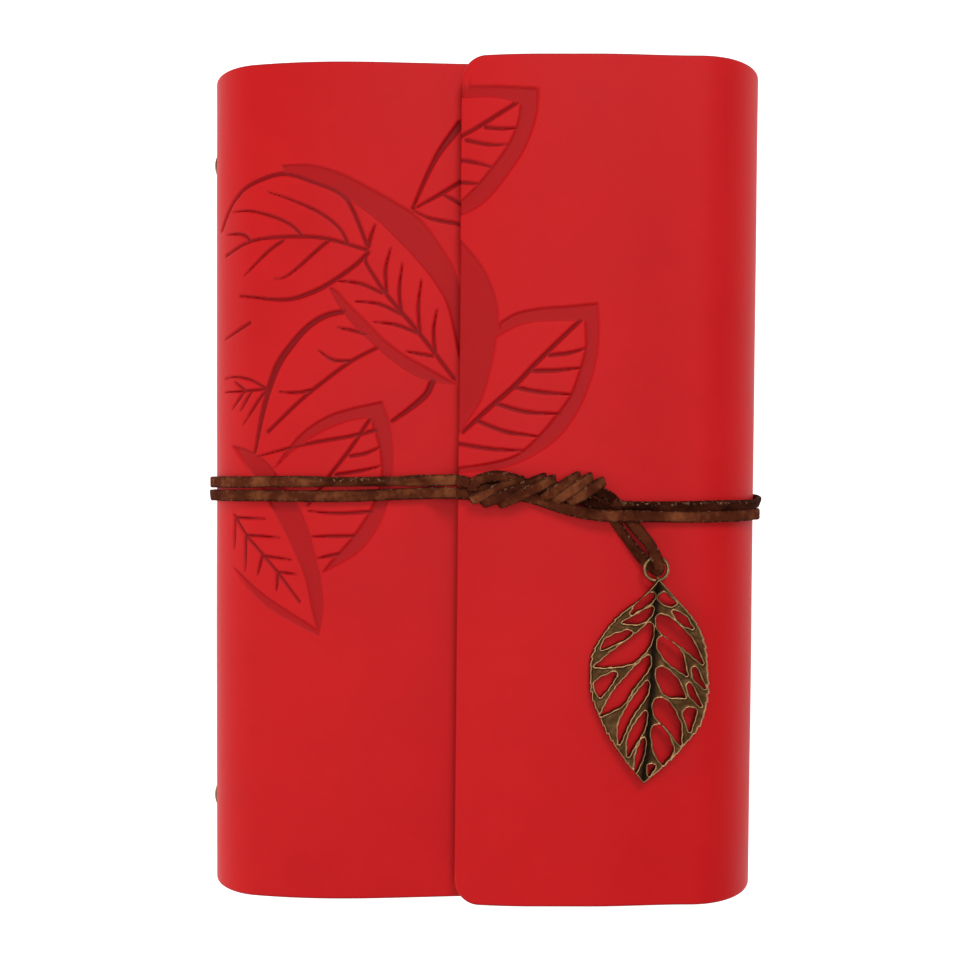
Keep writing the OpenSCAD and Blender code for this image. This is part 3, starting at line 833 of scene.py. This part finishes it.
def lace_channel(x, y, s):
    """Under the book the leather gives way beneath each strand."""
    beside = np.minimum(np.abs(y - back_y(x, 0)), np.abs(y - back_y(x, 1)))
    return CHANNEL_DEPTH * smooth((s - 7) / 16) * smooth((CHANNEL_HALF_W - beside) / 0.7)


def make_leather():
    front_fine = FRONT_LINE.length_at_x(-60.5), FRONT_LINE.length_at_x(-3.5)
    front = leather_shell(
        "leather_front", FRONT_LINE,
        [(0, front_fine[0], 1.2), (*front_fine, FINE), (front_fine[1], FRONT_LINE.length, 1.5)],
        cover_rows(-36, 82), 1, True, leaves_on_front())
    blended(front, "spine", "front", *SPINE_TO_FRONT)
    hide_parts("front_cover", "front_spine_fold", "spine_panel")

    flap_fine = FLAP_LINE.length_at_x(26.5)
    flap = leather_shell(
        "leather_flap", FLAP_LINE,
        [(0, flap_fine, 1.2), (flap_fine, FLAP_LINE.length, FINE)],
        cover_rows(0.5, 87), -1, True, leaves_on_flap(), (fore_lean, flap_lean))
    blended(flap, "fore_edge", "flap", *FORE_TO_FLAP)
    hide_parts("front_fore_edge_fold", "cover_flap")

    back_rows = cover_rows(-12, 3)
    left = leather_shell(
        "leather_back_left", BACK_SPINE_LINE, [(0, BACK_SPINE_LINE.length, 1.3)],
        back_rows, -1, channel=lace_channel)
    blended(left, "back", "spine", *BACK_TO_SPINE)
    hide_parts("back_spine_fold", "back_cover")
    right = leather_shell(
        "leather_back_right", BACK_FORE_LINE, [(0, BACK_FORE_LINE.length, 1.3)],
        back_rows, 1, leans=(fore_lean, no_lean), channel=lace_channel)
    blended(right, "back", "fore_edge", *BACK_TO_FORE)
    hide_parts("back_fore_edge_fold", "fore_edge_panel")


# ---- lace ----

LACE = lace_material()
LACE_CORNER = 0.4
STRAND_STEP = 0.4     # spacing along the strands that lie on the cover


def section(width, thickness):
    """A rounded oblong: points (across, up) and how near each is to a side edge."""
    half_w, half_t = width / 2 - LACE_CORNER, thickness / 2 - LACE_CORNER
    centres = [(half_w, half_t), (-half_w, half_t), (-half_w, -half_t), (half_w, -half_t)]
    points = []
    for (x, y), corner in zip(centres, quarter_turns(centres, LACE_CORNER, (0, 45, 90))):
        points += corner
        if x * y > 0:
            side = math.copysign(half_t + LACE_CORNER, y)
            points += [(x * f, side) for f in (0.5, 0, -0.5)]
    points = np.array(points)
    return points, smooth((np.abs(points[:, 0]) / (width / 2) - 0.62) / 0.3)


def strap_mesh(centre, across, width=LACE_W, thickness=LACE_T, rough=0.09, taper=1.0):
    """Points, faces and edge wear of one piece of flat lace along a path."""
    centre, across = np.asarray(centre, float), np.asarray(across, float)
    tangent = unit(np.gradient(centre, axis=0))
    across = unit(across - (across * tangent).sum(1)[:, None] * tangent)
    up = np.cross(tangent, across)
    shape, wear = section(width, thickness)
    size = np.broadcast_to(taper, len(centre))
    points = centre[:, None] \
        + across[:, None] * (shape[None, :, :1] * size[:, None, None]) \
        + up[:, None] * shape[None, :, 1:]
    flat = points.reshape(-1, 3)
    shift = np.array([noise.noise(Vector(p) * 0.9) + 0.6 * noise.noise(Vector(p) * 2.7)
                      for p in flat])
    away = unit((points - centre[:, None]).reshape(-1, 3))
    flat = flat + away * (shift * rough)[:, None]
    count, ring = len(centre), len(shape)
    index = np.arange(count * ring).reshape(count, ring)
    following = np.roll(index, -1, axis=1)
    quads = np.stack([index[:-1], following[:-1], following[1:], index[1:]], -1).reshape(-1, 4)
    faces = quads.tolist() + [index[0, ::-1].tolist(), index[-1].tolist()]
    return flat, faces, np.tile(wear, count)


def lace_piece(name, straps, tones):
    """One piece made of several lengths of lace, each with its tone from 0, dark, to 1."""
    points, faces, wear, shades, first = [], [], [], [], 0
    for (flat, own_faces, own_wear), tone in zip(straps, tones):
        points.append(flat)
        faces += [[first + i for i in face] for face in own_faces]
        wear.append(own_wear)
        shades.append(np.full(len(flat), tone))
        first += len(flat)
    piece = new_mesh(name, np.concatenate(points), faces, [LACE])
    store(piece, "edge", np.concatenate(wear))
    store(piece, "tone", np.concatenate(shades))
    return piece


FLAT_LIFT = LACE_GAP + LACE_T / 2    # from a face to the middle of the lace flat on it


def strand(line, s, outward, y, rise, tilt=0.0, rough=0.09):
    """Lace that lies along a line, tilted about its own length, and risen off it."""
    x, z = line.place(s)
    nx, nz = line.normal(s, outward)
    y, tilt = np.broadcast_to(y, s.shape), np.broadcast_to(tilt, s.shape)
    lift = FLAT_LIFT + np.abs(np.sin(tilt)) * (LACE_W - LACE_T) / 2 + rise
    centre = np.stack([x + nx * lift, y, z + nz * lift], -1)
    across = np.stack([nx * np.sin(tilt), np.cos(tilt), nz * np.sin(tilt)], -1)
    return strap_mesh(centre, across, rough=rough)


def back_y(x, i):
    """Middle of a strand behind the book."""
    return SPINE_STRANDS[i] + (FORE_STRANDS[i] - SPINE_STRANDS[i]) * smooth((x + 40) / 80)


UPPER_SHIFT, UPPER_TILT = -1.05, 0.75    # the head-side strand on the flap lies close, on its edge
KNOT_RISE = 0.5       # how far the strands move towards the head on their way to the knot
OVER_TAIL = 1.2       # how far the foot-side strand lifts over the tail
CORE_Z = FLAP_Z + LACE_GAP + LACE_T / 2
TURN_ROLL, TURN_W = 0.3, 2.5


def strap_through(points, width=LACE_W, thickness=LACE_T, rough=0.09, taper=1.0):
    """Lace along a smooth path through a few places.

    Each place is (x, y, z), and may have a fourth number: how far the lace is rolled there.
    """
    points = np.array([(*p[:3], p[3] if len(p) > 3 else 0) for p in points], float)
    path = curve_through(points, 0.35)
    centre = path[:, :3]
    tangent = np.gradient(centre, axis=0)
    flat = unit(np.stack([-tangent[:, 1], tangent[:, 0], np.zeros(len(centre))], -1))
    up = np.cross(unit(tangent), flat)
    turn = path[:, 3:]
    ends = taper + (1 - taper) * np.sqrt(np.sin(math.pi * np.linspace(0.04, 0.96, len(centre))))
    return strap_mesh(centre, flat * np.cos(turn) + up * np.sin(turn), width, thickness, rough, ends)


def turn_over(start, end, top):
    """One turn of the lace over the knot's core, from start to end in plan."""
    a, b = np.array(start, float), np.array(end, float)
    angles = np.radians([-25, 5, 45, 90, 135, 175, 205])
    share = 0.5 - 0.5 * np.cos(np.clip(angles, 0, math.pi))
    tuck = np.where(angles < 0, 0.14, 0) - np.where(angles > math.pi, 0.14, 0)
    places = a + (b - a) * (share + tuck)[:, None]
    height = CORE_Z - 0.1 + (top - CORE_Z) * np.maximum(np.sin(angles), 0)
    roll = np.full(len(angles), TURN_ROLL)
    return strap_through(np.column_stack([places, height, roll]), TURN_W, taper=0.5)


def make_knot():
    """Three lengths that run through the knot, a loop, six turns over them and an end."""
    z = CORE_Z
    edge = flap_top(FLAP_EDGE_X) + LACE_GAP + LACE_T / 2 + 0.2
    core = [
        [(-5.9, SPINE_STRANDS[0] + KNOT_RISE, edge, 0.1), (-2.8, -0.9, z - 0.8), (1, -2, z),
         (6, -3.1, z), (10, -3.7, z), (14, -5, z + 0.1), (19.5, -6.7, z + 0.5),
         (25, -7.6, z + OVER_TAIL), (29.9, FORE_STRANDS[1] + 0.1, z + OVER_TAIL)],
        [(-5.9, SPINE_STRANDS[1] + KNOT_RISE, edge), (-1.7, -3.1, z - 0.7), (3, -3.4, z),
         (7, -2.0, z), (13, -1.6, z + 0.2), (19, -1.8, z + 0.4), (24, -3.0, z + 0.4, -0.3),
         (27.5, -4.8, z + 0.1, 0.3), (29.9, FORE_STRANDS[0] + UPPER_SHIFT, z + 0.4, UPPER_TILT)],
        [(-3.4, -2.6, z - 0.9), (0, -1.2, z - 0.3), (4, -0.9, z - 0.2), (9, -2.4, z - 0.1),
         (15, -3.4, z - 0.1), (21, -4.2, z), (27, -5.9, z)],
    ]
    straps = [strap_through(path) for path in core]
    # The loop along the head side, then the turns over the core, from spine to fore-edge
    straps.append(strap_through(
        [(-2.4, -2.2, z - 0.4), (-1.9, -0.6, z + 0.3), (0.2, 0.5, z + 1.0, 0.5),
         (3.2, 0.9, z + 1.2, 0.5), (6.8, 0.1, z + 1.1, 0.4), (9.6, -1.3, z + 0.5), (11, -2.2, z)],
        2.3))
    turns = [((-2.4, -4.2), (8.2, 0), 1.6), ((0, -5), (13, 0.5), 2.0),
             ((3.6, -5.1), (15, 0.2), 2.2), ((12.6, -3.9), (20.4, 0.9), 2.0),
             ((15.4, -4.4), (23, 0.7), 2.3), ((18.6, -4.7), (25.6, -0.3), 2.2)]
    for start, end, rise in turns:
        straps.append(turn_over(start, end, z + rise))
    straps.append(strap_through(
        [(21.5, -1.4, z + 1.0), (24.6, -2.4, z + 1.0, -0.3), (27.2, -3.7, z + 0.7),
         (28.6, -4.6, z + 0.1)], 2.4, 1.1, taper=0.6))
    knot = lace_piece("lace_knot", straps,
                      (0.5, 0.35, 0.0, 0.6, 0.75, 0.5, 0.7, 0.55, 0.75, 0.65, 0.05))
    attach(knot, "flap")
    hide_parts("tie_knot")


def make_tail():
    """The doubled end that leaves the knot and holds the jump ring in its bend."""
    z = CORE_Z
    low, high = JUMP_C[2] - 0.95, JUMP_C[2] + 0.98
    tail = lace_piece("lace_tail", [strap_through(
        [(27.6, -7.6, z - 0.1, 0.7), (28.9, -9.9, z, 0.8), (31.2, -13.1, z + 0.1, 0.9),
         (33.6, -16.2, low + 0.2, 0.5), (35.2, -17.8, low, 0.1), (36.6, -19.0, low + 0.25),
         (37.4, -19.4, JUMP_C[2]), (37.5, -18.5, high - 0.2), (36.9, -16.6, high),
         (35.2, -13.4, high - 0.1), (33.0, -10.6, z + 0.5), (31.2, -8.4, z)],
        2.5, 0.9, rough=0.06)], [0.4])
    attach(tail, "flap")
    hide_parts("tie_tail")


def back_run(name, line, outward, sunk_from, tones):
    """Both strands behind the book, at the same depth as the leather from a place on."""
    s = np.arange(0, line.length + 0.1, STRAND_STEP)
    x, _ = line.place(s)
    sink = (LACE_T + 2 * LACE_GAP) * smooth((s - sunk_from) / 16)
    straps = [strand(line, s, outward, back_y(x, i), -sink, rough=0.04) for i in (0, 1)]
    return lace_piece(name, straps, tones)


def make_lace():
    s = np.arange(0, FRONT_LINE.length_at_x(-6.0), STRAND_STEP)
    x, _ = FRONT_LINE.place(s)
    ramp_up = smooth((x + 13.5) / 7.5)
    climb = ramp_up * (flap_top(FLAP_EDGE_X) + 0.1 - cover_z(x))
    twist = 1.05 * smooth((x + 46) / 14) * (1 - smooth((x + 20) / 10))
    straps = []
    for i, y in enumerate(SPINE_STRANDS):
        tilt = twist if i == 0 else 0.12 * np.sin(x / 6)
        wander = 0.12 * np.sin(x / 9 + 2 * i) * smooth((x + 55) / 8)
        wander = wander + KNOT_RISE * smooth((x + 36) / 28)
        straps.append(strand(FRONT_LINE, s, 1, y + wander, climb, tilt))
    front = lace_piece("lace_front", straps, (0.8, 0.66))
    blended(front, "spine", "front", *SPINE_TO_FRONT)
    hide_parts("tie_front_run", "tie_spine_run")

    left = back_run("lace_back_left", BACK_SPINE_LINE, -1, 6, (0.5, 0.45))
    blended(left, "back", "spine", *BACK_TO_SPINE)
    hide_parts("tie_back_run")
    right = back_run("lace_back_right", BACK_FORE_LINE, 1, 9, (0.3, 0.55))
    blended(right, "back", "fore_edge", *BACK_TO_FORE)
    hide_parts("tie_fore_edge_run")

    s = np.arange(0, FLAP_LINE.length_at_x(29.6), STRAND_STEP)
    x, _ = FLAP_LINE.place(s)
    straps = []
    for i, y in enumerate(FORE_STRANDS):
        leaning = smooth(s / 14) * (1 - i)
        wander = 0.15 * np.sin(s / 7 + i) * smooth(s / 12) + UPPER_SHIFT * leaning
        tilt = UPPER_TILT * leaning + 0.1 * np.sin(s / 5 + 2 * i) * smooth(s / 12)
        rise = OVER_TAIL * i * (1 - smooth((x - 31) / 8))
        straps.append(strand(FLAP_LINE, s, -1, y + wander, rise, tilt))
    flap = lace_piece("lace_flap", straps, (0.2, 0.6))
    blended(flap, "fore_edge", "flap", *FORE_TO_FLAP)
    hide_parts("tie_flap_run")


# ---- leaf charm ----
# Plan, in the leaf's own frame: its stem end at (0, 0), its tip at (0, -LEAF_L).

CHARM_GRID = 0.13
BRONZE, BRONZE_WIRE = bronze_material(), bronze_material(False)
LEAF_L, LEAF_W = 44.3, 25.6
STEM_RISE = 1.5       # the stem end climbs over the wire of the jump ring
OPENING_ROUND = 0.2   # the openings reach this far past their loops, which rounds their corners
CHARM_T = 1.0
LEAF_RIM = {
    -1: [(0, 0), (-3, -4.4), (-7.2, -8.2), (-11.5, -14.2), (-13, -20.5), (-11.5, -28.3), (-6.8, -36.4),
         (-2.6, -41.4), (0, -LEAF_L)],
    1: [(0, 0), (3, -2.9), (7.4, -7.2), (10.6, -12), (12.4, -21), (11.9, -29.4), (8, -35.8), (3.4, -41),
        (0, -LEAF_L)],
}
# The openings between the veins, each a loop from its outer corner and back
OPENINGS = [
    [(-5, -8), (-3.6, -5.5), (-0.9, -3.4), (-1, -5.1)],
    [(-6.7, -10.1), (-4.2, -8.6), (-0.9, -6.5), (-1, -8), (-3, -9.8)],
    [(-10.8, -16.1), (-9.8, -13.8), (-5.6, -11.9), (-5.3, -12.9)],
    [(-11.9, -19.9), (-9, -17), (-4.2, -12.9), (-0.8, -10), (-0.7, -14), (-3.7, -18.1), (-8, -19.5)],
    [(-10.6, -26.3), (-11.7, -23.4), (-7.6, -21), (-8.7, -23.8)],
    [(-10, -30.3), (-7.9, -25.5), (-3.8, -20), (-0.8, -17), (-0.8, -19.6), (-3.8, -24.1), (-5.6, -27.5)],
    [(-5.7, -36), (-5.9, -31.4), (-2.8, -25.3), (-0.7, -22.5), (-0.7, -25.2), (-3.4, -29.7)],
    [(-3.7, -38.6), (-3.6, -34.2), (-0.8, -29), (-0.7, -32.3), (-2.4, -35.7)],
    [(-1.9, -41.8), (-1.9, -38.3), (-0.6, -34.6), (-0.6, -38.3)],
    [(4.3, -5.2), (2.7, -5.7), (0.7, -4.5), (1.4, -3.2)],
    [(8.1, -10.2), (6, -9.4), (3.9, -7), (6.5, -8.1)],
    [(10.9, -17.6), (6.3, -14.4), (1.4, -11.3), (0.7, -8.2), (3.4, -8.7), (8, -12.6)],
    [(7.6, -20.3), (3.2, -17.5), (1.1, -14.2), (2.2, -12.7), (6, -15.6)],
    [(7.6, -25.2), (3.4, -24.7), (1.2, -20.4), (2.5, -19.2), (5.6, -21.5)],
    [(11.8, -23), (9.2, -20.6), (9.4, -18.7)],
    [(11.2, -26.9), (8.5, -24.2), (8.5, -22.2)],
    [(9.2, -32.4), (7.7, -28.3), (10.1, -27.9)],
    [(7.3, -35.4), (5, -32.7), (1.5, -29.2), (1.4, -26.2), (4, -26.5), (6.9, -31)],
    [(3.9, -39.8), (2, -37.2), (1.2, -32.6), (3, -31.8), (5.7, -36.4)],
    [(1.1, -42.3), (0.9, -40.4), (2.1, -40.3)],
]


def leaf_outline():
    """The leaf's edge, finely and unevenly toothed except beside its stem."""
    sides = []
    for side, places in LEAF_RIM.items():
        path = curve_through(places, 0.12)
        travel = np.linspace(0, 1, len(path))
        size = smooth((travel - 0.15) / 0.1) * smooth((0.97 - travel) / 0.1)
        tooth = (0.28 + 0.18 * np.sin(travel * 37 + side)) * ((travel * 28) % 1)
        sides.append(path + np.stack([side * tooth * size, 0 * travel], -1))
    return np.concatenate([sides[0], sides[1][-2:0:-1]])


def rib_x(u):
    """The midrib bows gently to one side, u of the way down the leaf."""
    return 0.45 * np.sin(math.pi * np.clip(u, 0, 1) ** 1.5)


def leaf_grid():
    """A grid of places with their distance inside the metal, and its squares that are all metal."""
    outline, openings = leaf_outline(), Plan()
    for loop in OPENINGS:
        openings.area(loop + loop[:1])

    def inside(px, py):
        ragged = 0.1 * np.sin(px * 2.3 + py * 1.1) * np.sin(py * 1.9 - px * 0.8)
        return np.minimum(area_inside(px, py, outline),
                          ragged - OPENING_ROUND - openings.reach(px, py, False))

    grid_x, grid_y = np.meshgrid(np.arange(-LEAF_W / 2 - 1, LEAF_W / 2 + 1, CHARM_GRID),
                                 np.arange(-LEAF_L - 0.5, 0.5, CHARM_GRID))
    x, y = grid_x.ravel(), grid_y.ravel()
    d = inside(x, y)
    # Points beside an edge move onto it, so that the edges are smooth
    step = 0.02
    slope_x = (inside(x + step, y) - d) / step
    slope_y = (inside(x, y + step) - d) / step
    steep = np.maximum(np.hypot(slope_x, slope_y), 0.3)
    close = np.abs(d) < 0.55 * CHARM_GRID
    x = x - np.where(close, d * slope_x / steep ** 2, 0)
    y = y - np.where(close, d * slope_y / steep ** 2, 0)
    d = np.where(close, 0, d)
    quads = np.array(grid_faces(*grid_x.shape))
    return x, y, d, quads[(d[quads] >= 0).all(1)]


def leaf_relief(x, y, d):
    """Heights of the leaf's top and underside, and how rubbed its top is."""
    lip = np.exp(-((d - 0.2) / 0.15) ** 2)
    hollow = smooth((d - 0.3) / 0.25)
    from_rib = np.abs(x - rib_x(-y / LEAF_L))
    groove = np.exp(-(from_rib / 0.35) ** 2) * hollow
    dome = 0.35 * (1 - (x / (LEAF_W / 2)) ** 2)
    climb = STEM_RISE * smooth((y + 4.6) / 3.4)
    top = CHARM_LOW + CHARM_T + 0.26 * lip - 0.14 * hollow - 0.15 * groove + dome + climb
    # Rubbed bright along every lip, dull on the flats, nearly black along the midrib
    wear = 0.42 + 0.5 * lip - 0.42 * np.exp(-(from_rib / 0.9) ** 2) * (1 - 0.7 * lip)
    return top, CHARM_LOW + dome * 0.5 + climb, wear


def make_charm():
    x, y, d, quads = leaf_grid()
    top, under, wear = leaf_relief(x, y, d)
    faces = slab_faces(quads.tolist(), len(x))
    points = np.concatenate([np.stack([x, y, top], -1), np.stack([x, y, under], -1)])
    wear = np.concatenate([wear, np.full(len(x), 0.2)])
    # Only the places that a face uses are kept
    used = np.unique(np.concatenate([np.ravel(face) for face in faces]))
    renumber = np.full(len(points), -1)
    renumber[used] = np.arange(len(used))
    faces = [renumber[face].tolist() for face in faces]
    x, y, z = points[used].T
    tilt = math.radians(CHARM_TILT)
    turned = np.stack([x * math.cos(tilt) - y * math.sin(tilt) + CHARM_EYE[0],
                       x * math.sin(tilt) + y * math.cos(tilt) + LEAF_TOP_Y, z], -1)
    charm = new_mesh("leaf_charm_cast", turned, faces, [BRONZE])
    store(charm, "wear", np.clip(wear[used], 0, 1))
    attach(charm, "charm")
    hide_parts("leaf_charm")

    eye = eye_ring("leaf_charm_eye", CHARM_EYE, 0.88, 0.28)
    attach(eye, "charm")


def eye_ring(name, centre, radius, wire, turns=48, sides=14):
    """A closed ring across X whose wire is slightly uneven, as a bent wire is."""
    a, b = np.meshgrid(np.linspace(0, 2 * math.pi, turns, endpoint=False),
                       np.linspace(0, 2 * math.pi, sides, endpoint=False), indexing="ij")
    r = radius + wire * np.cos(b) * (1 + 0.04 * np.sin(3 * a))
    axes = wire * np.sin(b), r * np.cos(a), r * np.sin(a)
    points = np.stack([axis + c for axis, c in zip(axes, centre)], -1).reshape(-1, 3)
    index = np.arange(turns * sides).reshape(turns, sides)
    ahead, beside = np.roll(index, -1, 0), np.roll(index, -1, 1)
    both = np.roll(ahead, -1, 1)
    faces = np.stack([index, ahead, both, beside], -1).reshape(-1, 4).tolist()
    return new_mesh(name, points, faces, [BRONZE_WIRE])


# ---- pages ----

PAPER = paper_material()
SHEETS = 10           # in each pack
SHEET_SHARE = 0.86    # how much of its pitch a sheet fills
PAGE_CORNER = 2.0
HOLE_POINTS = 20


def page_corners(x0, x1, half_h, shift, r):
    """A sheet's outline with rounded corners, anticlockwise from its fore-edge head corner."""
    centres = [(x1 - r, half_h - r + shift), (x0 + r, half_h - r + shift),
               (x0 + r, r - half_h + shift), (x1 - r, r - half_h + shift)]
    return sum(quarter_turns(centres, r, (0, 30, 60, 90)), [])


def make_pack(side, number, rng):
    """A pack of loose sheets, each with six punched holes and a little out of line."""
    pitch = (PACK_T - 0.12) / SHEETS
    droop = math.radians(-DROOP)
    angles = np.linspace(0, -2 * math.pi, HOLE_POINTS, endpoint=False)
    points, faces = [], []
    for sheet in range(SHEETS):
        d = (number - 1) * PACK_T + 0.06 + (sheet + 0.5) * pitch
        shift_x, shift_y = rng.uniform(-0.35, 0.1), rng.uniform(-0.3, 0.3)
        middle = math.sqrt(RING_R ** 2 - d ** 2)
        x0 = middle - HOLE_INSET + shift_x
        along_ring = HOLE_R * RING_R / middle     # the ring crosses the outer sheets at a slant
        loops = [page_corners(x0, x0 + PAGE_W, PAGE_H / 2 - 0.3, shift_y, PAGE_CORNER)]
        loops += [[(middle + along_ring * math.cos(a), y + HOLE_R * math.sin(a)) for a in angles]
                  for y in RING_Y]
        ends = np.cumsum([0] + [len(loop) for loop in loops])
        numbered = [list(range(a, b)) for a, b in zip(ends, ends[1:])]
        outline = [Vector(place) for loop in loops for place in loop]
        flat, _, triangles, *_ = delaunay_2d_cdt(outline, [], numbered, 2, 1e-5)
        top = [[len(points) + i for i in t] for t in triangles]
        faces += slab_faces(top, len(flat))
        half_t = pitch * SHEET_SHARE / 2
        for z in (d + half_t, d - half_t):
            points += [(v[0], v[1], side * z) for v in flat]
    points = np.array(points)
    x = points[:, 0] * math.cos(droop) - points[:, 2] * math.sin(droop)
    z = points[:, 0] * math.sin(droop) + points[:, 2] * math.cos(droop)
    points = np.stack([x + RING_C[0], points[:, 1], z + RING_C[1]], -1)
    name = f"{'front' if side > 0 else 'back'}_pages_{number}"
    faces = faces if side > 0 else [face[::-1] for face in faces]
    pack = new_mesh(f"{name}_sheets", points, faces, [PAPER])
    pack.data.set_sharp_from_angle(angle=math.radians(40))
    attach(pack, name)
    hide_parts(name)


def make_pages():
    rng = np.random.default_rng(7)
    for side in (1, -1):
        for number in (1, 2, 3):
            make_pack(side, number, rng)


def dress_metal():
    """The ring mechanism keeps its CAD shapes and gets its metals."""
    steel = steel_material()
    in_bronze = ("jump_ring", "head_rivet_cap", "foot_rivet_cap")
    for name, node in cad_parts.items():
        if any(word in name for word in ("ring", "blade", "lever", "post", "rivet")):
            for slot in node.material_slots:
                slot.material = BRONZE_WIRE if name in in_bronze else steel


# ---- room ----

def make_room():
    corners = [(x * FLOOR_HALF, y * FLOOR_HALF, 0) for x, y in ((-1, -1), (1, -1), (1, 1), (-1, 1))]
    floor = new_mesh("floor", corners, [[0, 1, 2, 3]], [floor_material()])
    world = bpy.data.worlds.new("room")
    world.use_nodes = True
    sky = world.node_tree.nodes["Background"]
    sky.inputs["Color"].default_value = (1, 1, 1, 1)
    sky.inputs["Strength"].default_value = SKY_STRENGTH
    bpy.context.scene.world = world
    for name, light in LIGHTS.items():
        area_light(name, *light)
    bpy.context.scene.view_settings.view_transform = "Standard"


make_leather()
make_lace()
make_knot()
make_tail()
make_charm()
make_pages()
dress_metal()
make_room()
make_camera()
